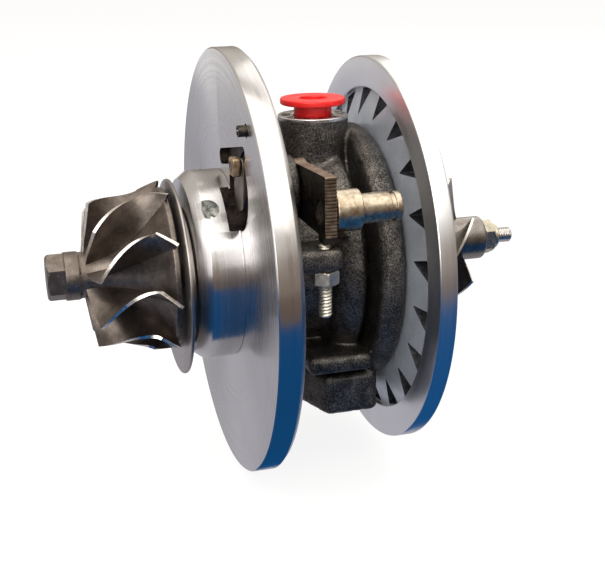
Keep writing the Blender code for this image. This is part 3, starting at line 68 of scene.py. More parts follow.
# Flange and hub
FLANGE_RADIUS = 55.0 * MM
FLANGE_THICKNESS = 6.5 * MM
FLANGE_EDGE = 1.2 * MM
FLANGE_FACE_EDGE = 0.35 * MM
FLANGE_ROUNDING = 0.18 * MM
HUB_RADIUS = 24.5 * MM
HUB_LENGTH = 10.7 * MM
HUB_SHOULDER = 8.0 * MM
HUB_FACE_RADIUS = 22.4 * MM
HUB_GROOVE = 0.35 * MM
SEAL_BORE_RADIUS = 7.5 * MM
CASTING_START = 5.5 * MM
CASTING_CORE = 30.0 * MM
CASTING_ROOT = 0.5 * MM
CASTING_VOXEL = 0.55 * MM
CASTING_REACH = FLANGE_RADIUS + 2.0 * MM
CAST_ROUGHNESS = 0.12 * MM
COARSE_SWELLS = 0.9
FINE_SWELLS = 1.9
FINE_SHARE = 0.6

# Rotor
SHAFT_END = 82.0 * MM
SHAFT_SEAL_RADIUS = 7.2 * MM
SHAFT_SEAL_END = -4.6 * MM
SHAFT_JOURNAL_END = 29.5 * MM
SHAFT_JOURNAL_RADIUS = 4.0 * MM
SHAFT_STUB_RADIUS = 2.5 * MM
SHAFT_THREAD_RADIUS = 2.1 * MM
SHAFT_THREAD_PITCH = 0.7 * MM
SHAFT_THREAD_DEPTH = 0.26 * MM
SHAFT_THREAD_LEAD = 1.0 * MM
SHAFT_CHAMFER = 0.45 * MM
TURBINE_BACK = -14.9 * MM
TURBINE_DISC_RADIUS = 20.6 * MM
TURBINE_DISC_THICKNESS = 1.3 * MM
TURBINE_BLADES = 9
TURBINE_BLADE_HALF = 0.40 * MM
TURBINE_ROOT_SWELL = 0.75 * MM
TURBINE_ROUNDING = 0.35 * MM
NOSE_STATION = -45.7 * MM
NOSE_HEX_FLATS = 10.6 * MM
NOSE_HEX_LENGTH = 4.4 * MM
NOSE_HEX_JOIN = 1.0 * MM
NOSE_HEX_RISE = 1.6
NOSE_STEP = 0.5 * MM
NOSE_COLLAR_RADIUS = 6.2 * MM
TURBINE_EXIT_HUB = (-37.4 * MM, 5.9 * MM)
TURBINE_EXIT_TIP = (-34.2 * MM, 18.5 * MM)
TURBINE_CORNER = (-19.9 * MM, 21.2 * MM)
TURBINE_FOOT_STATION = TURBINE_BACK - 0.2 * MM
TURBINE_FOOT_RADIUS = 22.4 * MM
TURBINE_FOOT_ANGLE = 29.3 * DEGREE
TURBINE_CORNER_ANGLE = 39.9 * DEGREE
TURBINE_EXIT_ANGLE = 8.9 * DEGREE
TURBINE_TIP_SWEEP = 2.17
TURBINE_HUB_SWEEP = 1.8
TURBINE_HUB_POWER = 2.2
BLADE_ROOT_DEPTH = 0.9 * MM

# Compressor wheel and nut
COMPRESSOR_BLADES = 6
COMPRESSOR_BLADE_HALF = 0.32 * MM
COMPRESSOR_ROOT_SWELL = 0.6 * MM
COMPRESSOR_ROUNDING = 1.0 * MM
COMPRESSOR_BACK = 43.7 * MM
COMPRESSOR_RADIUS = 24.5 * MM
COMPRESSOR_DISC_THICKNESS = 1.4 * MM
COMPRESSOR_EXIT_WIDTH = 2.6 * MM
COMPRESSOR_INLET = (64.2 * MM, 17.24 * MM)
COMPRESSOR_HUB_INLET = (65.4 * MM, 5.9 * MM)
COMPRESSOR_NOSE = 72.8 * MM
COMPRESSOR_WRAP = 70.0 * DEGREE
COMPRESSOR_SWEEP = 2.2
COMPRESSOR_INLET_ANGLE = 33.8 * DEGREE
SPLITTER_START = 0.32
NUT_STATION = 73.1 * MM
NUT_HEX_FLATS = 8.4 * MM
NUT_HEX_LENGTH = 3.0 * MM
NUT_COLLAR_RADIUS = 3.4 * MM
NUT_COLLAR_LENGTH = 1.5 * MM
NUT_HEX_RISE = 1.4
NUT_FACE_LEAD = 0.2 * MM
NUT_CHAMFER = 0.4 * MM

# Heat shield
SHIELD_RADIUS = 25.2 * MM
SHIELD_THICKNESS = 0.8 * MM
SHIELD_FRONT = -13.9 * MM
SHIELD_SKIRT_RADIUS = 18.0 * MM
SHIELD_SEAT = -11.0 * MM
SHIELD_SHIFT = (-1.5 * MM, -2.3 * MM)
SHIELD_BORE_RADIUS = 10.25 * MM
SHIELD_ROUNDING = 0.38 * MM

# Backplate
BACKPLATE_RADIUS = 51.15 * MM
RIM_FRONT = 39.6 * MM
RIM_REAR = 44.0 * MM
PLATE_ROUNDING = 0.5 * MM
RECESS_RADIUS = 43.1 * MM
PLATE_FACE = 38.8 * MM
CONE_END = 41.4 * MM
CONE_RADIUS = 34.6 * MM
SPIGOT_END = 35.3 * MM
SPIGOT_RADIUS = 16.7 * MM
PLATE_BORE_RADIUS = 6.7 * MM
WHEEL_POCKET_FLOOR = 43.1 * MM
WHEEL_POCKET_RADIUS = 25.1 * MM
PLATE_POCKETS = 20
POCKET_FIRST_ANGLE = 5.7 * DEGREE
POCKET_APEX_RADIUS = 35.5 * MM
POCKET_HALF_WIDTH = 3.6 * MM
POCKET_SWIRL = 4.0 * DEGREE
POCKET_FLOOR = 43.0 * MM
POCKET_SET_IN = 0.25 * MM
POCKET_ROUNDING = 0.35 * MM
SCREWS = 4
SCREW_FIRST_ANGLE = 45.0 * DEGREE
SCREW_CIRCLE_RADIUS = 29.4 * MM
SCREW_HEAD_HOLE = 4.1 * MM
SCREW_SEAT = 41.2 * MM
SCREW_HOLE = 2.3 * MM

# Vane lever
SPINDLE = (-20.0 * MM, 23.0 * MM)
SPINDLE_RADIUS = 3.3 * MM
SPINDLE_END = 17.8 * MM
SPINDLE_CHAMFER = 0.5 * MM
BUSH_HOLE_RADIUS = 5.2 * MM
CRANK_POCKET_RADIUS = 9.6 * MM
CRANK_POCKET_FRONT = -2.7 * MM
CRANK_POCKET_FLOOR = 2.7 * MM
CRANK_ARM = (0.0, 2.4 * MM)
CRANK_EDGE = 0.25 * MM
CRANK_EYE_RADIUS = 4.8 * MM
CRANK_TIP_RADIUS = 1.9 * MM
CRANK_RADIUS = 7.3 * MM
CRANK_ANGLE = 113.0 * DEGREE
BLOCK_SPAN = (-2.4 * MM, -0.3 * MM)
BLOCK_WIDTH = 4.3 * MM
BLOCK_EDGE = 0.45 * MM
BLOCK_PIN_RADIUS = 1.1 * MM
SLOT_MIDDLE = (-13.8 * MM, 30.6 * MM)
SLOT_LENGTH = 28.4 * MM
SLOT_WIDTH = 4.0 * MM
SLOT_DEPTH = 2.2 * MM
SLOT_TILT = -10.8 * DEGREE
NOTCH_ANGLE = 42.5 * DEGREE
NOTCH_LENGTH = 4.6 * MM
NOTCH_WIDTH = 2.8 * MM
NOTCH_DEPTH = 1.4 * MM
LEVER_SPAN = (13.6 * MM, 16.4 * MM)
LEVER_EYE_RADIUS = 7.0 * MM
LEVER_REACH = 26.0 * MM
LEVER_DROP = 6.5 * MM
LEVER_HEIGHT = 14.2 * MM
LEVER_TEETH = 18
LEVER_TOOTH_DEPTH = 0.35 * MM
LEVER_FOOT_REACH = 3.0 * MM
LEVER_FOOT_WIDTH = 4.4 * MM
LEVER_FOOT_THICKNESS = 1.6 * MM
LEVER_FOOT_DROP = 1.5 * MM
PIN_PLACE = (-41.5 * MM, 21.8 * MM)
PIN_BOSS_RADIUS = 4.8 * MM
PIN_BOSS_LENGTH = 6.2 * MM
PIN_RADIUS = 3.5 * MM
PIN_LENGTH = 7.2 * MM
PIN_GROOVE = 1.1 * MM
PIN_GROOVE_DEPTH = 0.5 * MM
PIN_TIP = 1.5 * MM
PIN_RIVET_RADIUS = 2.5 * MM
PIN_RIVET_SET_BACK = 0.2 * MM
PIN_ROUNDING = 0.4 * MM

# Stop screw, dowel, mark and cap
STOP_PLACE = (14.4 * MM, -42.8 * MM)
STOP_RADIUS = 1.6 * MM
STOP_PITCH = 0.8 * MM
STOP_THREAD_DEPTH = 0.32 * MM
STOP_CHAMFER = 0.4 * MM
STOP_NUT_FLATS = 5.8 * MM
STOP_NUT_RISE = 1.5
DOWEL_PLACE = (-29.5 * MM, 39.2 * MM)
DOWEL_RADIUS = 1.35 * MM
DOWEL_DEPTH = 4.8 * MM
MARK_STATION = -6.9 * MM
MARK_ANGLE = 48.7 * DEGREE
MARK_RADIUS = 2.8 * MM
MARK_DEPTH = 0.45 * MM
MARK_RIM_DEPTH = 0.35
MARK_SWELLS = 900.0
MARK_RINGS = (1.0, 1.0, 0.85, 0.7, 0.55, 0.4, 0.25, 0.1)
MARK_COLUMNS = 40
INLET_STATION = 24.8 * MM
INLET_TOP = 37.2 * MM
INLET_RADIUS = 9.1 * MM
DRAIN_STATION = 28.3 * MM
DRAIN_FACE = 38.4 * MM
DRAIN_PORT_RADIUS = 6.6 * MM
SEAT_WIDTH = 2.6 * MM
SEAT_DEPTH = 1.2 * MM
SEAT_EDGE = 0.3 * MM
CAP_STEM_RADIUS = 4.85 * MM
CAP_STEM_DEPTH = 7.0 * MM
CAP_STAND_OFF = 2.7 * MM
CAP_FLANGE_RADIUS = 8.4 * MM
CAP_FLANGE_THICKNESS = 1.6 * MM
CAP_WALL = 1.2 * MM
CAP_ROUNDING = 0.5 * MM

# Camera, floor and cards
CAMERA_PLACE = (-0.07765, -0.28024, 0.08404)
CAMERA_RIGHT = (0.9594, -0.2818, -0.0152)
CAMERA_UP = (0.1009, 0.2925, 0.9511)
CAMERA_LENS = 67.6
FLOOR_HEIGHT = -0.0556
FLOOR_LIFT = 0.0004
FLOOR_RADIUS = 6.0
FLOOR_GLOW = 1.08
FLOOR_GLOW_SHARE = 0.78
BLUE_CARD = ((-0.7, -0.21), (1.0, -0.02))
BROWN_CARD = ((-0.9, -1.05), (1.1, -0.21))
WALL_DISTANCE = 1.1
WALL_TOP = 0.32
WALL_STEPS = 48
GREY_CARD = ((-1.0, -0.02), (1.0, 1.05))

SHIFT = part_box("rotor_shaft")[1].x - SHAFT_END


# Mesh helpers


def mix(first, second, share):
    return first + (second - first) * share


def polar(station, radius, angle):
    """A point at an angle from -Y towards +Z about the rotor's axis, in world coordinates."""
    return Vector((station + SHIFT, -radius * math.cos(angle), radius * math.sin(angle)))


def mesh_of(name, points, faces):
    mesh = bpy.data.meshes.new(name)
    mesh.from_pydata(points, [], faces)
    return mesh


def finished(mesh):
    bm = bmesh.new()
    bm.from_mesh(mesh)
    bmesh.ops.recalc_face_normals(bm, faces=bm.faces)
    bm.to_mesh(mesh)
    bm.free()
    mesh.shade_smooth()
    mesh.set_sharp_from_angle(angle=SMOOTH_ANGLE)
    return mesh


def loft(name, rings, loop=False, tip_column=None):
    """Joins rings of equal count; loop joins the last to the first, else fans close both ends.
    The strip after tip_column and the end fans take the second material."""
    rings = np.asarray(rings, float)
    rows, columns = rings.shape[:2]
    points = rings.reshape(-1, 3).tolist()
    faces = []
    looks = []
    for row in range(rows if loop else rows - 1):
        after = (row + 1) % rows
        for column in range(columns):
            beside = (column + 1) % columns
            faces.append(
                (row * columns + column, row * columns + beside,
                 after * columns + beside, after * columns + column)
            )
            looks.append(1 if column == tip_column else 0)
    if not loop:
        for row in (0, rows - 1):
            points.append(rings[row].mean(axis=0).tolist())
            middle = len(points) - 1
            for column in range(columns):
                beside = (column + 1) % columns
                faces.append((row * columns + column, row * columns + beside, middle))
                looks.append(0 if tip_column is None else 1)
    mesh = mesh_of(name, points, faces)
    mesh.polygons.foreach_set("material_index", looks)
    return finished(mesh)


def rounded(points, radius, steps=3, loop=False):
    """The outline with each corner turned into a short curve."""
    curve = []
    count = len(points)
    for i, point in enumerate(points):
        here = Vector(point)
        if not loop and i in (0, count - 1):
            curve.append(here)
            continue
        back = Vector(points[i - 1]) - here
        ahead = Vector(points[(i + 1) % count]) - here
        corner = back.angle(ahead, math.pi)
        if corner > STRAIGHT_ANGLE:
            curve.append(here)
            continue
        longest = CORNER_SHARE * min(back.length, ahead.length)
        reach = min(radius / math.tan(corner / 2.0), longest)
        first = here + back.normalized() * reach
        last = here + ahead.normalized() * reach
        for step in range(steps + 1):
            share = step / steps
            curve.append(mix(mix(first, here, share), mix(here, last, share), share))
    return curve


def turned(name, profile, columns, place=(0.0, 0.0), edge=(), upright=False, loop=False, field=None):
    """A turned mesh from (station, radius) points. field changes a radius by station and angle.
    place is (y, z) of an axis along X, or (station, y) of an upright one. edge is (radius, steps)."""
    if edge:
        profile = rounded(profile, *edge, loop)
    rings = []
    for station, radius in profile:
        ring = []
        for column in range(columns):
            angle = FULL_TURN * column / columns
            reach = radius if field is None else field(station, angle, radius)
            side, rise = reach * math.cos(angle), reach * math.sin(angle)
            if upright:
                ring.append((place[0] + SHIFT + side, place[1] + rise, station))
            else:
                ring.append((station + SHIFT, place[0] - side, place[1] + rise))
        rings.append(ring)
    return loft(name, rings, loop)


def dense(profile, step):
    """The profile with points added so that none lie further apart than step along the axis."""
    points = [profile[0]]
    for first, last in zip(profile, profile[1:]):
        parts = max(1, math.ceil(abs(last[0] - first[0]) / step))
        for part in range(1, parts + 1):
            share = part / parts
            points.append((mix(first[0], last[0], share), mix(first[1], last[1], share)))
    return points


def closed(points):
    """The profile with a small ring at each end, for the end fans to fill."""
    return [(points[0][0], END_RING), *points, (points[-1][0], END_RING)]


def thread(pitch, depth, start, end):
    """A field that cuts a thread between two stations and fades out at its ends."""

    def radius_at(station, angle, radius):
        turn = (station / pitch - angle / FULL_TURN) % 1.0
        fade = min(1.0, max(0.0, (station - start) / pitch), max(0.0, (end - station) / pitch))
        return radius - depth * fade * abs(2.0 * turn - 1.0)

    return radius_at


def hexagon(flats, start, end, rise, kept=0.0):
    """A field that trims what lies outside the kept radius to a hexagon with chamfered ends."""

    def radius_at(station, angle, radius):
        if radius <= kept:
            return radius
        sector = (angle + math.pi / 6.0) % (math.pi / 3.0) - math.pi / 6.0
        edge = min(station - start, end - station)
        return min(flats / 2.0 / math.cos(sector), flats / 2.0 + rise * edge, radius)

    return radius_at


def prism(name, outline, start, end):
    """An outline of (y, z) points extruded along X between two stations."""
    points = [(x + SHIFT, y, z) for x in (start, end) for y, z in outline]
    count = len(outline)
    faces = [tuple(range(count)), tuple(range(2 * count - 1, count - 1, -1))]
    for i in range(count):
        after = (i + 1) % count
        faces.append((i, i + count, after + count, after))
    return finished(mesh_of(name, points, faces))


def box(name, low, high):
    outline = [(low[1], low[2]), (high[1], low[2]), (high[1], high[2]), (low[1], high[2])]
    return prism(name, outline, low[0], high[0])


def arc(centre, radius, start, end, steps):
    turns = [mix(start, end, i / steps) for i in range(steps + 1)]
    return [
        (centre[0] + radius * math.cos(turn), centre[1] + radius * math.sin(turn))
        for turn in turns
    ]


def circle(centre, radius, count):
    return arc(centre, radius, 0.0, FULL_TURN * (count - 1) / count, count - 1)


def plug(name, centre, radius, start, end, count=32):
    """A round bar along X, to cut a bore with."""
    return prism(name, circle(centre, radius, count), start, end)


def merged(name, meshes):
    bm = bmesh.new()
    for mesh in meshes:
        bm.from_mesh(mesh)
    joined = bpy.data.meshes.new(name)
    bm.to_mesh(joined)
    bm.free()
    for mesh in meshes:
        bpy.data.meshes.remove(mesh)
    joined.set_sharp_from_angle(angle=SMOOTH_ANGLE)
    return joined


def linked(data):
    obj = bpy.data.objects.new(data.name, data)
    bpy.context.scene.collection.objects.link(obj)
    return obj


def add_object(mesh, *looks):
    obj = linked(mesh)
    for look in looks:
        mesh.materials.append(look)
    return obj


def applied(obj):
    """Bakes an object's modifiers into its mesh."""
    graph = bpy.context.evaluated_depsgraph_get()
    mesh = bpy.data.meshes.new_from_object(obj.evaluated_get(graph))
    obj.modifiers.clear()
    old = obj.data
    obj.data = mesh
    bpy.data.meshes.remove(old)


def combined(obj, operation, meshes, look=None):
    """Cuts or joins meshes, each with its own Boolean. The cut faces take the look."""
    helpers = []
    for mesh in meshes:
        helper = add_object(mesh)
        if look is not None:
            mesh.materials.append(look)
        step = obj.modifiers.new("Step", "BOOLEAN")
        step.operation = operation
        step.solver = "EXACT"
        step.material_mode = "TRANSFER"
        step.object = helper
        helpers.append(helper)
    applied(obj)
    for helper in helpers:
        bpy.data.meshes.remove(helper.data)
    obj.data.shade_smooth()
    obj.data.set_sharp_from_angle(angle=SMOOTH_ANGLE)


def dress_faces(obj, look, chosen):
    obj.data.materials.append(look)
    for face in obj.data.polygons:
        if chosen(face):
            face.material_index = len(obj.data.materials) - 1


def bevelled(obj, width, segments=2):
    edge = obj.modifiers.new("Edges", "BEVEL")
    edge.width = width
    edge.segments = segments
    edge.limit_method = "ANGLE"
    edge.angle_limit = BEVEL_ANGLE


def piece(obj, body, slot, *nodes):
    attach(obj, body)
    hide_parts(*nodes)


# Material helpers


def fill(node, **values):
    """Sets a node's inputs; an underscore stands for a space in an input's name."""
    for name, value in values.items():
        node.inputs[name.replace("_", " ")].default_value = value


class Look:
    """A Principled material with short calls for the nodes that all finishes share."""

    def __init__(self, name, colour, roughness, metallic):
        self.material = bpy.data.materials.new(name)
        self.material.use_nodes = True
        self.tree = self.material.node_tree
        self.shader = self.tree.nodes["Principled BSDF"]
        fill(self.shader, Base_Color=(*colour, 1.0), Roughness=roughness, Metallic=metallic)
        self.place = self.node("ShaderNodeTexCoord").outputs["Object"]

    def node(self, kind, **settings):
        made = self.tree.nodes.new(kind)
        for key, value in settings.items():
            setattr(made, key, value)
        return made

    def link(self, output, socket):
        self.tree.links.new(output, socket)

    def noise(self, size, detail=3.0, roughness=0.5):
        """Noise with features of about this size in metres."""
        texture = self.node("ShaderNodeTexNoise")
        fill(texture, Scale=1.0 / size, Detail=detail, Roughness=roughness)
        self.link(self.place, texture.inputs["Vector"])
        return texture.outputs["Fac"]

    def turning(self, size, detail=2.0):
        """Noise in fine rings round the rotor's axis, on faces and round surfaces alike."""
        split = self.node("ShaderNodeSeparateXYZ")
        self.link(self.place, split.inputs["Vector"])
        across = self.node("ShaderNodeCombineXYZ")
        self.link(split.outputs["Y"], across.inputs["Y"])
        self.link(split.outputs["Z"], across.inputs["Z"])
        length = self.node("ShaderNodeVectorMath", operation="LENGTH")
        self.link(across.outputs["Vector"], length.inputs["Vector"])
        total = self.math("ADD", length.outputs["Value"], split.outputs["X"])
        texture = self.node("ShaderNodeTexNoise", noise_dimensions="1D")
        fill(texture, Scale=1.0 / size, Detail=detail)
        self.link(total, texture.inputs["W"])
        return texture.outputs["Fac"]

    def math(self, operation, first, second):
        made = self.node("ShaderNodeMath", operation=operation)
        for socket, value in zip(made.inputs, (first, second)):
            if isinstance(value, (int, float)):
                socket.default_value = value
            else:
                self.link(value, socket)
        return made.outputs["Value"]

    def ramp(self, factor, *stops):
        """Stops are (position, value) or (position, colour)."""
        made = self.node("ShaderNodeValToRGB")
        elements = made.color_ramp.elements
        while len(elements) < len(stops):
            elements.new(0.5)
        for element, (position, value) in zip(elements, stops):
            element.position = position
            rgb = (value, value, value) if isinstance(value, float) else value
            element.color = (*rgb, 1.0)
        self.link(factor, made.inputs["Fac"])
        return made.outputs["Color"]

    def colour(self, output):
        self.link(output, self.shader.inputs["Base Color"])

    def rough(self, factor, low, high):
        self.link(self.ramp(factor, (0.3, low), (0.7, high)), self.shader.inputs["Roughness"])

    def bump(self, height, depth):
        """Adds relief of this depth in metres on top of any relief already there."""
        made = self.node("ShaderNodeBump")
        fill(made, Distance=depth)
        self.link(height, made.inputs["Height"])
        socket = self.shader.inputs["Normal"]
        if socket.is_linked:
            self.link(socket.links[0].from_socket, made.inputs["Normal"])
        self.link(made.outputs["Normal"], socket)

    def brushed_round(self, amount):
        """Stretched highlights across the turning marks."""
        fill(self.shader, Anisotropic=amount, Anisotropic_Rotation=0.25)
        tangent = self.node("ShaderNodeTangent", direction_type="RADIAL", axis="X")
        self.link(tangent.outputs["Tangent"], self.shader.inputs["Tangent"])


def turned_metal(name, light, dark, low, high, anisotropic=0.55):
    """Faint stains, with roughness from low to high in rings round the axis."""
    look = Look(name, light, low, 1.0)
    stains = look.noise(16.0 * MM, 3.0, 0.5)
    look.colour(look.ramp(stains, (0.30, dark), (0.66, light)))
    look.rough(look.turning(1.2 * MM), low, high)
    look.bump(look.turning(0.9 * MM, 0.0), 0.0012 * MM)
    look.brushed_round(anisotropic)
    return look.material


def cast_metal(name, light, dark, low, high, grain, relief, metallic=1.0):
    """Grains of this size and relief in millimetres, in patches; roughness from low to high."""
    look = Look(name, light, low, metallic)
    speckle = look.noise(grain * MM, 4.0, 0.65)
    patches = look.noise(9.0 * grain * MM, 3.0, 0.55)
    both = look.math("MULTIPLY", speckle, patches)
    look.colour(look.ramp(both, (0.16, dark), (0.42, light)))
    look.rough(speckle, low, high)
    look.bump(speckle, relief * MM)
    return look.material


def make_cast_iron():
    """Dark sand-cast skin: fine bright grains over faint patches."""
    dark, light = (0.022, 0.020, 0.019), (0.23, 0.21, 0.19)
    look = Look("cast_iron", light, 0.3, 0.9)
    speckle = look.noise(0.36 * MM, 4.0, 0.7)
    patches = look.ramp(look.noise(4.0 * MM, 3.0), (0.35, 0.84), (0.65, 1.0))
    both = look.math("MULTIPLY", speckle, patches)
    look.colour(look.ramp(both, (0.38, dark), (0.60, light)))
    look.rough(speckle, 0.27, 0.48)
    look.bump(speckle, 0.14 * MM)
    return look.material


def plated_metal(name, light, dark, roughness):
    look = Look(name, light, roughness, 1.0)
    patches = look.noise(2.2 * MM, 5.0, 0.62)
    look.colour(look.ramp(patches, (0.36, dark), (0.6, light)))
    look.rough(look.noise(0.8 * MM, 3.0), roughness - 0.08, roughness + 0.14)
    look.bump(look.noise(0.5 * MM, 3.0), 0.012 * MM)
    return look.material


def make_plastic():
    dull, bright = (0.70, 0.008, 0.010), (0.86, 0.016, 0.014)
    look = Look("red_plastic", bright, 0.36, 0.0)
    fill(look.shader, Subsurface_Weight=0.08, Subsurface_Radius=(0.004, 0.001, 0.001))
    look.colour(look.ramp(look.noise(5.0 * MM, 3.0), (0.3, dull), (0.7, bright)))
    look.rough(look.noise(1.2 * MM, 4.0), 0.30, 0.46)
    look.bump(look.noise(0.4 * MM, 2.0), 0.01 * MM)
    return look.material


def make_rubber():
    look = Look("rubber", (0.025, 0.025, 0.027), 0.7, 0.0)
    look.rough(look.noise(0.6 * MM, 4.0), 0.6, 0.8)
    look.bump(look.noise(0.3 * MM, 3.0), 0.01 * MM)
    return look.material


MACHINED = turned_metal("machined_steel", (0.62, 0.605, 0.605), (0.57, 0.555, 0.555), 0.21, 0.28, 0.75)
SHIELD_STEEL = turned_metal("shield_steel", (0.42, 0.39, 0.37), (0.28, 0.25, 0.23), 0.25, 0.4, 0.3)
GROUND_STEEL = turned_metal("ground_steel", (0.62, 0.60, 0.575), (0.48, 0.46, 0.44), 0.18, 0.30, 0.4)
CAST_IRON = make_cast_iron()
# Near-black for the cut faces of the flange's pocket, slot, notch, dowel hole and spindle bore: painted
# shade in these recesses.
POCKET_PAINTED_SHADE = cast_metal("pocket_painted_shade", (0.11, 0.085, 0.07), (0.012, 0.010, 0.010), 0.4, 0.6, 0.5, 0.08)
MARK_METAL = cast_metal("rough_mark", (0.50, 0.49, 0.46), (0.09, 0.10, 0.09), 0.3, 0.6, 0.4, 0.12)
TURBINE_ALLOY = cast_metal(
    "turbine_alloy", (0.27, 0.235, 0.205), (0.13, 0.105, 0.09), 0.34, 0.5, 0.35, 0.02
)
GROUND_EDGE = plated_metal("ground_edge", (0.80, 0.77, 0.73), (0.60, 0.56, 0.52), 0.28)
ALUMINIUM = turned_metal("aluminium", (0.80, 0.80, 0.81), (0.72, 0.72, 0.74), 0.28, 0.36)
# Recess faces of the backplate: aluminium grey with a blue tint, which is a painted reflection of the blue
# surface below.
PLATE_ALUMINIUM_PAINTED_BLUE = cast_metal(
    "plate_aluminium_painted_blue", (0.56, 0.60, 0.66), (0.42, 0.46, 0.52), 0.32, 0.46, 0.6, 0.012, 0.65
)
# Pocket faces of the backplate: duller cast aluminium, darkened well below real aluminium as painted shade
# in the pockets.
CAST_ALUMINIUM_AND_SHADE = cast_metal("cast_aluminium_and_painted_shade", (0.38, 0.38, 0.40), (0.13, 0.13, 0.15), 0.3, 0.45, 0.5, 0.03)
WHEEL_ALUMINIUM = cast_metal(
    "wheel_aluminium", (0.34, 0.31, 0.285), (0.19, 0.17, 0.155), 0.24, 0.36, 0.4, 0.012
)
BRONZE = plated_metal("bronze", (0.52, 0.37, 0.23), (0.24, 0.16, 0.10), 0.40)
NUT_PLATING = plated_metal("nut_plating", (0.54, 0.50, 0.40), (0.33, 0.30, 0.23), 0.28)
ZINC = plated_metal("zinc", (0.74, 0.70, 0.60), (0.56, 0.52, 0.43), 0.40)
YELLOW_ZINC = plated_metal("yellow_zinc", (0.60, 0.53, 0.42), (0.33, 0.25, 0.17), 0.30)
DARK_STEEL = plated_metal("dark_steel", (0.085, 0.070, 0.058), (0.020, 0.017, 0.015), 0.42)
# Lighter brown: bare steel on the sheared, serrated end of the lever; on its upward faces the same colour
# is painted light from above.
LEVER_EDGE_AND_TOP_LIGHT = plated_metal("lever_edge_and_painted_top_light", (0.34, 0.27, 0.20), (0.16, 0.11, 0.08), 0.42)
RED_PLASTIC = make_plastic()
RUBBER = make_rubber()

NODE_LOOKS = {
    "cast_iron": CAST_IRON,
    "pressed_steel": SHIELD_STEEL,
    "turbine_alloy": TURBINE_ALLOY,
    "ground_steel": GROUND_STEEL,
    "bronze": BRONZE,
    "aluminium": ALUMINIUM,
    "wheel_aluminium": WHEEL_ALUMINIUM,
    "rubber": RUBBER,
    "plated_steel": ZINC,
    "yellow_plated_steel": YELLOW_ZINC,
    "dark_steel": DARK_STEEL,
    "red_plastic": RED_PLASTIC,
}


def dress_nodes():
    """Gives every CAD node the finish of its slot in the record."""
    slots = {part["node"]: part["material_slot"] for part in frame["record"]["subparts"]}
    for name, obj in frame["nodes"].items():
        obj.data.materials.clear()
        look = DARK_STEEL if name == "dowel_pin" else NODE_LOOKS[slots[name]]
        obj.data.materials.append(look)


# Bearing housing


def slot_outline():
    half = (SLOT_LENGTH - SLOT_WIDTH) / 2.0
    right = arc((half, 0.0), SLOT_WIDTH / 2.0, -math.pi / 2.0, math.pi / 2.0, 8)
    left = arc((-half, 0.0), SLOT_WIDTH / 2.0, math.pi / 2.0, 1.5 * math.pi, 8)
    turn = Matrix.Rotation(SLOT_TILT, 2)
    middle = Vector(SLOT_MIDDLE)
    return [tuple(turn @ Vector(point) + middle) for point in right + left]


def radial_frame(angle):
    """Turns local +Z to a direction about the rotor's axis."""
    return Matrix.Translation((SHIFT, 0.0, 0.0)) @ Matrix.Rotation(math.pi / 2.0 - angle, 4, "X")


def notch_mesh():
    half = NOTCH_LENGTH / 2.0
    outline = [(-NOTCH_WIDTH, half), (-NOTCH_WIDTH / 2.0, -half), (GAP, half)]
    low, high = HUB_RADIUS - NOTCH_DEPTH, HUB_RADIUS + CUT_MARGIN
    points = [(x, y, z) for z in (low, high) for x, y in outline]
    mesh = mesh_of("notch", points, [(0, 1, 2), (5, 4, 3), (0, 3, 4, 1), (1, 4, 5, 2), (2, 5, 3, 0)])
    mesh.transform(radial_frame(NOTCH_ANGLE))
    return finished(mesh)


def mark_mesh():
    """A shallow round sinking with a rough floor."""
    rings = []
    for i, share in enumerate(MARK_RINGS):
        ring = []
        for x, y in circle((0.0, 0.0), MARK_RADIUS * share, MARK_COLUMNS):
            floor = HUB_RADIUS - MARK_DEPTH * mix(1.0, MARK_RIM_DEPTH, share)
            floor -= 0.5 * MARK_DEPTH * noise.noise(Vector((x, y, 0.0)) * MARK_SWELLS)
            ring.append((x + MARK_STATION, y, HUB_RADIUS + CUT_MARGIN if i == 0 else floor))
        rings.append(ring)
    mesh = loft("mark", rings)
    mesh.transform(radial_frame(MARK_ANGLE))
    return mesh


def make_flange():
    """The machined disc and hub, with the pocket, slot, dowel hole and casting mark cut in."""
    corners = [
        (-HUB_LENGTH, SEAL_BORE_RADIUS), (-HUB_LENGTH, HUB_FACE_RADIUS),
        (-HUB_SHOULDER, HUB_RADIUS), (-HUB_GROOVE, HUB_RADIUS),
        (-HUB_GROOVE, HUB_RADIUS - HUB_GROOVE), (0.0, HUB_RADIUS - HUB_GROOVE),
        (0.0, FLANGE_RADIUS - FLANGE_FACE_EDGE), (FLANGE_FACE_EDGE, FLANGE_RADIUS),
        (FLANGE_THICKNESS - FLANGE_EDGE, FLANGE_RADIUS), (FLANGE_THICKNESS, FLANGE_RADIUS - FLANGE_EDGE),
        (FLANGE_THICKNESS, SEAL_BORE_RADIUS),
    ]
    mesh = turned("housing_flange", corners, 256, edge=(FLANGE_ROUNDING, 2), loop=True)
    obj = add_object(mesh, MACHINED)
    # These cuts take the near-black pocket colour, which paints shade into the recesses.
    dark = [
        plug("pocket", SPINDLE, CRANK_POCKET_RADIUS, CRANK_POCKET_FRONT, CRANK_POCKET_FLOOR, 64),
        prism("slot", slot_outline(), -CUT_MARGIN, SLOT_DEPTH),
        notch_mesh(),
        plug("dowel_hole", DOWEL_PLACE, DOWEL_RADIUS + GAP, -CUT_MARGIN, DOWEL_DEPTH),
        plug("spindle_bore", SPINDLE, BUSH_HOLE_RADIUS, 0.0, FLANGE_THICKNESS + CUT_MARGIN),
    ]
    combined(obj, "DIFFERENCE", dark, POCKET_PAINTED_SHADE)
    combined(obj, "DIFFERENCE", [mark_mesh()], MARK_METAL)
    piece(obj, "housing", "cast_iron", "bearing_housing")


def ring_cut(name, start, end, inner):
    """A ring that takes the flange off outside the inner radius."""
    corners = [(start, inner), (end, inner), (end, CASTING_REACH), (start, CASTING_REACH)]
    return turned(name, corners, 96, loop=True)


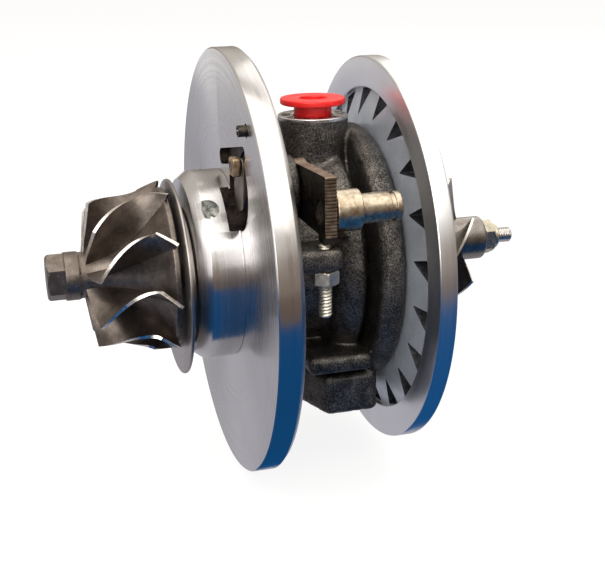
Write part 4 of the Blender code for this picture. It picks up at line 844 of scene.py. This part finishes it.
def make_casting():
    """The rough body behind the flange: the solid's own form, with cast fillets and grain."""
    mesh = frame["nodes"]["bearing_housing"].data.copy()
    mesh.materials.clear()
    bm = bmesh.new()
    bm.from_mesh(mesh)
    bmesh.ops.remove_doubles(bm, verts=bm.verts, dist=WELD_DISTANCE)
    bm.to_mesh(mesh)
    bm.free()
    mesh.name = "housing_casting"
    obj = add_object(mesh, CAST_IRON)
    far = CASTING_REACH + CUT_MARGIN
    front = box("front_cut", (-far, -far, -far), (CASTING_START, far, far))
    before, root = CASTING_START - CUT_MARGIN, FLANGE_THICKNESS - CASTING_ROOT
    outer = ring_cut("outer_cut", before, root, CASTING_CORE)
    before, root = FLANGE_THICKNESS - CUT_MARGIN, FLANGE_THICKNESS + CASTING_ROOT
    edge = ring_cut("edge_cut", before, root, FLANGE_RADIUS - 3.0 * FLANGE_EDGE)
    combined(obj, "DIFFERENCE", [front, outer, edge])
    remesh = obj.modifiers.new("Cast", "REMESH")
    remesh.mode = "VOXEL"
    remesh.voxel_size = CASTING_VOXEL
    remesh.use_smooth_shade = True
    soften = obj.modifiers.new("Fillets", "SMOOTH")
    soften.factor = 0.5
    soften.iterations = 3
    applied(obj)
    normals = [vert.normal.copy() for vert in obj.data.vertices]
    for vert, normal in zip(obj.data.vertices, normals):
        here = vert.co / MM
        grain = noise.noise(here * COARSE_SWELLS) + FINE_SHARE * noise.noise(here * FINE_SWELLS)
        vert.co += normal * CAST_ROUGHNESS * grain
    obj.data.shade_smooth()
    piece(obj, "housing", "cast_iron", "bearing_housing")


def make_seats():
    """The milled rings where the oil pipes seat: on the inlet boss, and round the drain port."""
    inlet = (INLET_TOP, CAP_STEM_RADIUS + GAP, INLET_RADIUS, INLET_STATION, 1.0)
    drain = (-DRAIN_FACE, DRAIN_PORT_RADIUS, DRAIN_PORT_RADIUS + SEAT_WIDTH, DRAIN_STATION, -1.0)
    for name, seat in (("inlet_seat", inlet), ("drain_seat", drain)):
        top, bore, outer, station, rise = seat
        root = top - rise * SEAT_DEPTH
        corners = [(root, bore), (top, bore), (top, outer), (root, outer)]
        mesh = turned(name, corners, 96, (station, 0.0), (SEAT_EDGE, 3), upright=True, loop=True)
        piece(add_object(mesh, MACHINED), "housing", "cast_iron", "bearing_housing")


# Heat shield


def make_shield():
    back = SHIELD_FRONT + SHIELD_THICKNESS
    inner = SHIELD_SKIRT_RADIUS - SHIELD_THICKNESS
    corners = [
        (SHIELD_SEAT, SHIELD_SKIRT_RADIUS),
        (back, SHIELD_SKIRT_RADIUS),
        (back, SHIELD_RADIUS),
        (SHIELD_FRONT, SHIELD_RADIUS),
        (SHIELD_FRONT, SHIELD_BORE_RADIUS),
        (back, SHIELD_BORE_RADIUS),
        (back, inner),
        (SHIELD_SEAT, inner),
    ]
    mesh = turned("shield_dish", corners, 160, SHIELD_SHIFT, (SHIELD_ROUNDING, 3), loop=True)
    piece(add_object(mesh, SHIELD_STEEL), "housing", "pressed_steel", "heat_shield")


# Wheels


def blade(name, point, turn, half_thickness, steps_along, steps_out, start=0.0):
    """One blade as rings round its section; its tip and ends take the second material."""
    small = 0.01
    rings = []
    for i in range(steps_along + 1):
        along = mix(start, 1.0, i / steps_along)
        near_side, far_side = [], []
        for j in range(steps_out + 1):
            out = j / steps_out
            here = point(along, out, turn)
            ahead = point(min(along + small, 1.0), out, turn) - point(max(along - small, 0.0), out, turn)
            outward = point(along, min(out + small, 1.0), turn) - point(along, max(out - small, 0.0), turn)
            normal = ahead.cross(outward).normalized() * half_thickness(along, out)
            near_side.append(here + normal)
            far_side.append(here - normal)
        rings.append(near_side + far_side[::-1])
    return loft(name, rings, tip_column=steps_out)


def turbine_hub_line(share):
    station = mix(TURBINE_BACK - TURBINE_DISC_THICKNESS, TURBINE_EXIT_HUB[0], share)
    return station, mix(TURBINE_EXIT_HUB[1], TURBINE_DISC_RADIUS, (1.0 - share) ** TURBINE_HUB_POWER)


def turbine_point(along, out, first_angle):
    station, radius = turbine_hub_line(along)
    foot = (1.0 - along) ** 8.0
    root_station = mix(station + BLADE_ROOT_DEPTH, TURBINE_FOOT_STATION, foot)
    root_radius = mix(radius - BLADE_ROOT_DEPTH, TURBINE_FOOT_RADIUS, foot)
    root_angle = mix(TURBINE_FOOT_ANGLE, TURBINE_EXIT_ANGLE, along ** TURBINE_HUB_SWEEP)
    tip_station = mix(TURBINE_CORNER[0], TURBINE_EXIT_TIP[0], along)
    tip_radius = mix(TURBINE_CORNER[1], TURBINE_EXIT_TIP[1], along ** 0.5)
    tip_angle = mix(TURBINE_CORNER_ANGLE, TURBINE_EXIT_ANGLE, along ** TURBINE_TIP_SWEEP)
    return polar(
        mix(root_station, tip_station, out),
        mix(root_radius, tip_radius, out),
        first_angle + mix(root_angle, tip_angle, out),
    )


def turbine_thickness(along, out):
    root = TURBINE_ROOT_SWELL * math.exp(-out * 7.0) * (1.0 - (1.0 - along) ** 6.0)
    return TURBINE_BLADE_HALF + root


def make_turbine_wheel():
    hub = [turbine_hub_line(step / 24.0) for step in range(25)]
    collar_end = NOSE_STATION + NOSE_HEX_LENGTH
    corners = [
        (TURBINE_BACK, TURBINE_DISC_RADIUS),
        *hub,
        (TURBINE_EXIT_HUB[0] - NOSE_STEP, NOSE_COLLAR_RADIUS),
        (collar_end, NOSE_COLLAR_RADIUS),
    ]
    profile = rounded(closed(corners), TURBINE_ROUNDING)
    hex_end = collar_end + NOSE_HEX_JOIN
    flanks = [(mix(NOSE_STATION, hex_end, step / 24.0), NOSE_HEX_FLATS) for step in range(25)]
    trim = hexagon(NOSE_HEX_FLATS, NOSE_STATION, hex_end + 2.0 * NOSE_HEX_JOIN, NOSE_HEX_RISE)
    nose = turned("nose", closed(flanks), 144, field=trim)
    blades = [
        blade("blade", turbine_point, FULL_TURN * i / TURBINE_BLADES, turbine_thickness, 30, 12)
        for i in range(TURBINE_BLADES)
    ]
    mesh = merged("turbine_rotor", [turned("hub", profile, 144), nose, *blades])
    obj = add_object(mesh, TURBINE_ALLOY, GROUND_EDGE)
    piece(obj, "rotor", "turbine_alloy", "turbine_wheel")


def quarter_line(along, inlet, outlet):
    turn = along * math.pi / 2.0
    station = mix(inlet[0], outlet[0], math.sin(turn))
    return station, mix(inlet[1], outlet[1], 1.0 - math.cos(turn))


def compressor_hub_line(along):
    outlet = (COMPRESSOR_BACK + COMPRESSOR_DISC_THICKNESS, COMPRESSOR_RADIUS)
    return quarter_line(along, COMPRESSOR_HUB_INLET, outlet)


def compressor_point(along, out, first_angle):
    hub_station, hub_radius = compressor_hub_line(along)
    tip_outlet = COMPRESSOR_BACK + COMPRESSOR_DISC_THICKNESS + COMPRESSOR_EXIT_WIDTH
    tip_station, tip_radius = quarter_line(along, COMPRESSOR_INLET, (tip_outlet, COMPRESSOR_RADIUS))
    lean = math.cos(along * math.pi / 2.0)
    root_station = hub_station - BLADE_ROOT_DEPTH * (1.0 - lean)
    root_radius = hub_radius - BLADE_ROOT_DEPTH * lean
    angle = COMPRESSOR_INLET_ANGLE - COMPRESSOR_WRAP * (1.0 - (1.0 - along) ** COMPRESSOR_SWEEP)
    return polar(
        mix(root_station, tip_station, out), mix(root_radius, tip_radius, out), first_angle + angle
    )


def compressor_thickness(along, out):
    return COMPRESSOR_BLADE_HALF + COMPRESSOR_ROOT_SWELL * math.exp(-out * 8.0)


def make_compressor_wheel():
    hub = [compressor_hub_line(step / 24.0) for step in range(25)]
    bore = SHAFT_STUB_RADIUS + GAP
    corners = [
        (COMPRESSOR_NOSE, bore + COMPRESSOR_ROUNDING),
        (COMPRESSOR_NOSE, COMPRESSOR_HUB_INLET[1]),
        *hub,
        (COMPRESSOR_BACK, COMPRESSOR_RADIUS),
        (COMPRESSOR_BACK, bore),
    ]
    profile = [(COMPRESSOR_NOSE, bore), *rounded(corners, COMPRESSOR_ROUNDING, 5)]
    blades = []
    for i in range(2 * COMPRESSOR_BLADES):
        name, steps, first = ("splitter", 20, SPLITTER_START) if i % 2 else ("full", 26, 0.0)
        turn = math.pi * i / COMPRESSOR_BLADES
        blades.append(blade(name, compressor_point, turn, compressor_thickness, steps, 8, first))
    mesh = merged("compressor_rotor", [turned("hub", profile, 144, loop=True), *blades])
    obj = add_object(mesh, WHEEL_ALUMINIUM, GROUND_EDGE)
    piece(obj, "rotor", "wheel_aluminium", "compressor_wheel")


def make_compressor_nut():
    bore = SHAFT_THREAD_RADIUS + GAP
    hex_end = NUT_STATION + NUT_HEX_LENGTH
    collar_end = hex_end + NUT_COLLAR_LENGTH
    trim_start = NUT_STATION - NUT_FACE_LEAD
    trim = hexagon(NUT_HEX_FLATS, trim_start, hex_end, NUT_HEX_RISE, NUT_COLLAR_RADIUS)
    flanks = [(mix(NUT_STATION, hex_end, step / 16.0), NUT_HEX_FLATS) for step in range(17)]
    profile = [
        (collar_end, bore),
        (collar_end, NUT_COLLAR_RADIUS - NUT_CHAMFER),
        (collar_end - NUT_CHAMFER, NUT_COLLAR_RADIUS),
        (hex_end, NUT_COLLAR_RADIUS),
        *flanks[::-1],
        (NUT_STATION, bore),
    ]
    mesh = turned("shaft_nut", profile, 144, loop=True, field=trim)
    piece(add_object(mesh, NUT_PLATING), "rotor", "plated_steel", "compressor_nut")


def make_shaft():
    thread_start = COMPRESSOR_NOSE - SHAFT_THREAD_LEAD
    threaded = [
        (thread_start, SHAFT_THREAD_RADIUS),
        (SHAFT_END - SHAFT_CHAMFER, SHAFT_THREAD_RADIUS),
        (SHAFT_END, SHAFT_THREAD_RADIUS - SHAFT_CHAMFER),
    ]
    profile = [
        (TURBINE_BACK + GAP, SHAFT_SEAL_RADIUS),
        (SHAFT_SEAL_END, SHAFT_SEAL_RADIUS),
        (SHAFT_SEAL_END, SHAFT_JOURNAL_RADIUS),
        (SHAFT_JOURNAL_END, SHAFT_JOURNAL_RADIUS),
        (SHAFT_JOURNAL_END, SHAFT_STUB_RADIUS),
        (thread_start, SHAFT_STUB_RADIUS),
        *dense(threaded, SHAFT_THREAD_PITCH / 8.0),
    ]
    field = thread(SHAFT_THREAD_PITCH, SHAFT_THREAD_DEPTH, thread_start, SHAFT_END)
    mesh = turned("shaft_body", closed(profile), 48, field=field)
    piece(add_object(mesh, GROUND_STEEL), "rotor", "ground_steel", "rotor_shaft")


# Backplate


def rib_pocket(index):
    """A three-cornered pocket with softened corners, its point towards the axis."""
    middle = POCKET_FIRST_ANGLE + index * FULL_TURN / PLATE_POCKETS
    half = POCKET_HALF_WIDTH / RECESS_RADIUS
    base = RECESS_RADIUS - POCKET_SET_IN
    corners = [polar(0.0, POCKET_APEX_RADIUS, middle + POCKET_SWIRL)]
    for step in range(5):
        corners.append(polar(0.0, base, middle - half + half * step / 2.0))
    outline = rounded([(point.y, point.z) for point in corners], POCKET_ROUNDING, 3, loop=True)
    return prism(f"pocket_{index}", outline, PLATE_FACE - CUT_MARGIN, POCKET_FLOOR)


def screw_hole(index):
    angle = SCREW_FIRST_ANGLE + FULL_TURN * index / SCREWS
    centre = polar(0.0, SCREW_CIRCLE_RADIUS, angle)
    profile = [
        (SPIGOT_END, SCREW_HOLE),
        (SCREW_SEAT, SCREW_HOLE),
        (SCREW_SEAT, SCREW_HEAD_HOLE),
        (RIM_REAR + CUT_MARGIN, SCREW_HEAD_HOLE),
    ]
    return turned(f"screw_hole_{index}", closed(profile), 40, (centre.y, centre.z))


def make_backplate():
    corners = [
        (RIM_REAR, BACKPLATE_RADIUS), (RIM_FRONT, BACKPLATE_RADIUS),
        (RIM_FRONT, RECESS_RADIUS), (CONE_END, RECESS_RADIUS),
        (PLATE_FACE, CONE_RADIUS), (PLATE_FACE, SPIGOT_RADIUS),
        (SPIGOT_END, SPIGOT_RADIUS), (SPIGOT_END, PLATE_BORE_RADIUS),
        (WHEEL_POCKET_FLOOR, PLATE_BORE_RADIUS), (WHEEL_POCKET_FLOOR, WHEEL_POCKET_RADIUS),
        (RIM_REAR, WHEEL_POCKET_RADIUS),
    ]
    mesh = turned("ribbed_plate", corners, 240, edge=(PLATE_ROUNDING, 4), loop=True)
    obj = add_object(mesh, ALUMINIUM)
    pockets = merged("pockets", [rib_pocket(i) for i in range(PLATE_POCKETS)])
    # The pocket faces take the dark cast aluminium: partly the duller cast skin, partly painted shade.
    combined(obj, "DIFFERENCE", [pockets], CAST_ALUMINIUM_AND_SHADE)
    combined(obj, "DIFFERENCE", [screw_hole(i) for i in range(SCREWS)], ALUMINIUM)

    def in_recess(face):
        inside = math.hypot(face.center.y, face.center.z) < RECESS_RADIUS
        return inside and face.normal.x < -0.5 and face.center.x - SHIFT < CONE_END + 0.1 * MM

    # The recess faces take the aluminium with the painted blue reflection.
    dress_faces(obj, PLATE_ALUMINIUM_PAINTED_BLUE, in_recess)
    piece(obj, "housing", "aluminium", "backplate")


# Vane lever


def block_centre():
    return (
        SPINDLE[0] + CRANK_RADIUS * math.cos(CRANK_ANGLE),
        SPINDLE[1] + CRANK_RADIUS * math.sin(CRANK_ANGLE),
    )


def make_crank():
    slope = math.acos((CRANK_EYE_RADIUS - CRANK_TIP_RADIUS) / CRANK_RADIUS)
    big = arc((0.0, 0.0), CRANK_EYE_RADIUS, slope, FULL_TURN - slope, 32)
    small = arc((CRANK_RADIUS, 0.0), CRANK_TIP_RADIUS, -slope, slope, 12)
    turn = Matrix.Rotation(CRANK_ANGLE, 2)
    outline = [tuple(turn @ Vector(point) + Vector(SPINDLE)) for point in big + small]
    obj = add_object(prism("crank_arm", outline, *CRANK_ARM), TURBINE_ALLOY)
    middle = 0.5 * (CRANK_ARM[0] + CRANK_ARM[1])
    bar = [
        (middle, SPINDLE_RADIUS),
        (SPINDLE_END - SPINDLE_CHAMFER, SPINDLE_RADIUS),
        (SPINDLE_END, SPINDLE_RADIUS - SPINDLE_CHAMFER),
    ]
    spindle = turned("spindle", closed(bar), 48, SPINDLE)
    bar = [(BLOCK_SPAN[0], BLOCK_PIN_RADIUS), (middle, BLOCK_PIN_RADIUS)]
    pin = turned("block_pin", closed(bar), 32, block_centre())
    combined(obj, "UNION", [spindle, pin])
    bevelled(obj, CRANK_EDGE)
    piece(obj, "vane_lever", "turbine_alloy", "crank")


def make_block():
    y, z = block_centre()
    half = BLOCK_WIDTH / 2.0
    start, end = BLOCK_SPAN
    mesh = box("slide_block", (start, y - half, z - half), (end, y + half, z + half))
    obj = add_object(mesh, BRONZE)
    bevelled(obj, BLOCK_EDGE, 3)
    applied(obj)
    bore = plug("block_bore", (y, z), BLOCK_PIN_RADIUS + GAP, start - CUT_MARGIN, end + CUT_MARGIN)
    combined(obj, "DIFFERENCE", [bore], BRONZE)
    piece(obj, "block", "bronze", "crank_block")


def lever_end():
    """The sheared, serrated end of the lever, from its top corner down."""
    pitch = LEVER_HEIGHT / LEVER_TEETH
    points = []
    for tooth in range(LEVER_TEETH):
        base = -LEVER_DROP + tooth * pitch
        points.append((-LEVER_REACH + LEVER_TOOTH_DEPTH, base))
        points.append((-LEVER_REACH, base + pitch * 0.3))
        points.append((-LEVER_REACH, base + pitch * 0.7))
    points.append((-LEVER_REACH + LEVER_TOOTH_DEPTH, LEVER_HEIGHT - LEVER_DROP))
    return points[::-1]


def make_lever():
    rise = math.asin(LEVER_DROP / LEVER_EYE_RADIUS)
    eye = arc((0.0, 0.0), LEVER_EYE_RADIUS, math.pi + rise, 3.0 * math.pi - rise, 48)
    outline = [(y + SPINDLE[0], z + SPINDLE[1]) for y, z in [*eye, *lever_end()]]
    start, end = LEVER_SPAN
    obj = add_object(prism("lever_plate", outline, start, end), DARK_STEEL)
    bottom = SPINDLE[1] - LEVER_DROP - LEVER_FOOT_DROP
    half = LEVER_FOOT_WIDTH / 2.0
    foot = box(
        "lever_foot",
        (start, STOP_PLACE[1] - half, bottom),
        (end + LEVER_FOOT_REACH, STOP_PLACE[1] + half, bottom + LEVER_FOOT_THICKNESS),
    )
    combined(obj, "UNION", [foot])
    holes = ((SPINDLE, SPINDLE_RADIUS), (PIN_PLACE, PIN_RIVET_RADIUS))
    bores = [
        plug("bore", place, radius + GAP, start - CUT_MARGIN, end + CUT_MARGIN, 48)
        for place, radius in holes
    ]
    combined(obj, "DIFFERENCE", bores, DARK_STEEL)
    end_y = SPINDLE[0] - LEVER_REACH + 1.5 * LEVER_TOOTH_DEPTH
    # The serrated end shows bare steel; the upward faces take the same lighter colour as painted light from
    # above.
    dress_faces(obj, LEVER_EDGE_AND_TOP_LIGHT, lambda face: face.center.y < end_y or face.normal.z > 0.9)
    piece(obj, "vane_lever", "dark_steel", "actuator_lever")


def make_lever_pin():
    rivet_start = LEVER_SPAN[0] + PIN_RIVET_SET_BACK
    boss_start = LEVER_SPAN[1] + GAP
    boss_end = boss_start + PIN_BOSS_LENGTH
    pin_end = boss_end + PIN_LENGTH
    groove_end = pin_end + PIN_GROOVE
    corners = [
        (rivet_start, PIN_RIVET_RADIUS), (boss_start, PIN_RIVET_RADIUS),
        (boss_start, PIN_BOSS_RADIUS), (boss_end, PIN_BOSS_RADIUS),
        (boss_end, PIN_RADIUS), (pin_end, PIN_RADIUS),
        (pin_end, PIN_RADIUS - PIN_GROOVE_DEPTH), (groove_end, PIN_RADIUS - PIN_GROOVE_DEPTH),
        (groove_end, PIN_RADIUS), (groove_end + PIN_TIP, PIN_RADIUS),
    ]
    mesh = turned("rod_pin", closed(corners), 96, PIN_PLACE, (PIN_ROUNDING, 4))
    piece(add_object(mesh, YELLOW_ZINC), "vane_lever", "yellow_plated_steel", "lever_pin")


# Stop screw, its nut and the cap


def make_stop_screw():
    low, high = (corner.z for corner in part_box("stop_screw"))
    corners = [
        (low, STOP_RADIUS - STOP_CHAMFER),
        (low + STOP_CHAMFER, STOP_RADIUS),
        (high - STOP_CHAMFER, STOP_RADIUS),
        (high, STOP_RADIUS - STOP_CHAMFER),
    ]
    profile = dense(corners, STOP_PITCH / 8.0)
    field = thread(STOP_PITCH, STOP_THREAD_DEPTH, low - STOP_PITCH, high + STOP_PITCH)
    mesh = turned("stop_bolt", profile, 40, STOP_PLACE, upright=True, field=field)
    piece(add_object(mesh, ZINC), "adjuster", "plated_steel", "stop_screw")


def make_stop_nut():
    low, high = (corner.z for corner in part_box("stop_screw_nut"))
    bore = STOP_RADIUS + GAP
    flanks = [(mix(low, high, step / 20.0), STOP_NUT_FLATS) for step in range(21)]
    profile = [(low, bore), *flanks, (high, bore)]
    trim = hexagon(STOP_NUT_FLATS, low, high, STOP_NUT_RISE, bore)
    mesh = turned("lock_nut", profile, 144, STOP_PLACE, upright=True, loop=True, field=trim)
    piece(add_object(mesh, ZINC), "housing", "plated_steel", "stop_screw_nut")


def make_cap():
    under = INLET_TOP + CAP_STAND_OFF
    top = under + CAP_FLANGE_THICKNESS
    bottom = INLET_TOP - CAP_STEM_DEPTH
    inner = CAP_STEM_RADIUS - CAP_WALL
    corners = [
        (bottom + CAP_WALL, inner),
        (top, inner),
        (top, CAP_FLANGE_RADIUS),
        (under, CAP_FLANGE_RADIUS),
        (under, CAP_STEM_RADIUS),
        (bottom, CAP_STEM_RADIUS),
    ]
    place = (INLET_STATION, 0.0)
    mesh = turned("transport_cap", closed(corners), 96, place, (CAP_ROUNDING, 4), upright=True)
    piece(add_object(mesh, RED_PLASTIC), "inlet_cap", "red_plastic", "oil_inlet_cap")


# Floor, cards, light and camera


def card_look(name, colour):
    """A card of one even colour, however the lamps stand."""
    material = bpy.data.materials.new(name)
    material.use_nodes = True
    nodes = material.node_tree.nodes
    nodes.remove(nodes["Principled BSDF"])
    glow = nodes.new("ShaderNodeEmission")
    fill(glow, Color=(*colour, 1.0), Strength=1.0)
    material.node_tree.links.new(glow.outputs["Emission"], nodes["Material Output"].inputs["Surface"])
    return material


def sheet(name, corners, colour):
    """A card lying just over the floor, between two corners."""
    (left, near), (right, far) = corners
    outline = [(left, near), (right, near), (right, far), (left, far)]
    only_reflected(add_object(flat_mesh(name, outline, FLOOR_HEIGHT + FLOOR_LIFT), card_look(name, colour)))


def flat_mesh(name, outline, height):
    return mesh_of(name, [(x, y, height) for x, y in outline], [tuple(range(len(outline)))])


def only_reflected(obj):
    """A studio card: seen in the metal, and by nothing else."""
    obj.visible_camera = False
    obj.visible_diffuse = False
    obj.visible_transmission = False
    obj.visible_shadow = False


def make_floor():
    look = Look("pale_floor", (0.86, 0.86, 0.86), 0.8, 0.0)
    lift = look.node("ShaderNodeEmission")
    fill(lift, Color=(1.0, 1.0, 1.0, 1.0), Strength=FLOOR_GLOW)
    path = look.node("ShaderNodeLightPath")
    seen = look.math("MAXIMUM", path.outputs["Is Camera Ray"], path.outputs["Is Glossy Ray"])
    seen = look.math("MAXIMUM", seen, path.outputs["Is Transmission Ray"])
    blend = look.node("ShaderNodeMixShader")
    look.link(look.math("MULTIPLY", seen, FLOOR_GLOW_SHARE), blend.inputs["Fac"])
    look.link(look.shader.outputs["BSDF"], blend.inputs[1])
    look.link(lift.outputs["Emission"], blend.inputs[2])
    output = look.tree.nodes["Material Output"]
    look.link(blend.outputs["Shader"], output.inputs["Surface"])
    disc = flat_mesh("floor", circle((0.0, 0.0), FLOOR_RADIUS, 96), FLOOR_HEIGHT)
    floor = add_object(disc, look.material)


def make_cards():
    """Sheets under the part and a low wall before it, in the colours that its metal reflects."""
    sheet("blue_card", BLUE_CARD, (0.008, 0.085, 0.25))
    sheet("grey_card", GREY_CARD, (0.50, 0.49, 0.53))
    sheet("brown_card", BROWN_CARD, (0.17, 0.125, 0.095))
    half_turn = arc((0.0, 0.0), WALL_DISTANCE, math.pi, FULL_TURN, WALL_STEPS)
    points = [(x, y, height) for height in (FLOOR_HEIGHT, WALL_TOP) for x, y in half_turn]
    row = len(half_turn)
    faces = [(i, i + 1, i + row + 1, i + row) for i in range(WALL_STEPS)]
    wall = mesh_of("brown_wall", points, faces)
    only_reflected(add_object(wall, card_look("brown_wall", (0.30, 0.24, 0.19))))


def make_world():
    world = bpy.data.worlds.new("studio")
    bpy.context.scene.world = world
    world.use_nodes = True
    add, link = world.node_tree.nodes.new, world.node_tree.links.new
    soft, output = (world.node_tree.nodes[name] for name in ("Background", "World Output"))
    fill(soft, Strength=0.8)
    plain = add("ShaderNodeBackground")
    fill(plain, Color=(1.0, 1.0, 1.0, 1.0))
    place, split = add("ShaderNodeTexCoord"), add("ShaderNodeSeparateXYZ")
    ramp, blend = add("ShaderNodeValToRGB"), add("ShaderNodeMixShader")
    low, high = ramp.color_ramp.elements
    low.color = (0.30, 0.25, 0.21, 1.0)
    high.position = 0.45
    high.color = (0.92, 0.86, 0.77, 1.0)
    link(place.outputs["Generated"], split.inputs["Vector"])
    link(split.outputs["Z"], ramp.inputs["Fac"])
    link(ramp.outputs["Color"], soft.inputs["Color"])
    link(add("ShaderNodeLightPath").outputs["Is Camera Ray"], blend.inputs["Fac"])
    link(soft.outputs["Background"], blend.inputs[1])
    link(plain.outputs["Background"], blend.inputs[2])
    link(blend.outputs["Shader"], output.inputs["Surface"])


def add_area(name, place, size, power, colour, target=(0.0, 0.0, 0.0)):
    light = bpy.data.lights.new(name, "AREA")
    light.shape = "RECTANGLE"
    light.size, light.size_y = size
    light.energy = power
    light.color = colour
    obj = linked(light)
    obj.location = place
    aim = Vector(target) - Vector(place)
    obj.rotation_euler = aim.to_track_quat("-Z", "Y").to_euler()
    obj.visible_camera = False


def make_lights():
    add_area("overhead", (-0.10, -0.25, 0.75), (1.6, 1.2), 9.5, (1.0, 0.98, 0.94))
    add_area("left_front", (-0.7, -0.55, 0.35), (0.9, 0.9), 3.0, (0.96, 0.97, 1.0))
    add_area("front_fill", (-0.30, -0.60, 0.30), (0.4, 0.4), 1.4, (1.0, 0.99, 0.97), (0.02, 0.0, 0.0))
    add_area("back_right", (0.6, 0.5, 0.6), (0.9, 0.9), 3.0, (1.0, 0.98, 0.95))


def make_camera():
    right, up = Vector(CAMERA_RIGHT), Vector(CAMERA_UP)
    back = right.cross(up)
    camera = bpy.data.cameras.new("photo_camera")
    camera.lens = CAMERA_LENS
    camera.sensor_width = 36.0
    camera.sensor_fit = "HORIZONTAL"
    camera.clip_start = 0.01
    obj = linked(camera)
    turn = Matrix((right, up, back)).transposed().to_4x4()
    obj.matrix_world = Matrix.Translation(CAMERA_PLACE) @ turn
    bpy.context.scene.camera = obj


dress_nodes()
make_flange()
make_casting()
make_seats()
make_shield()
make_turbine_wheel()
make_compressor_wheel()
make_compressor_nut()
make_shaft()
make_backplate()
make_crank()
make_block()
make_lever()
make_lever_pin()
make_stop_screw()
make_stop_nut()
make_cap()
make_floor()
make_cards()
make_world()
make_lights()
make_camera()

scene = bpy.context.scene
scene.view_settings.view_transform = "Standard"
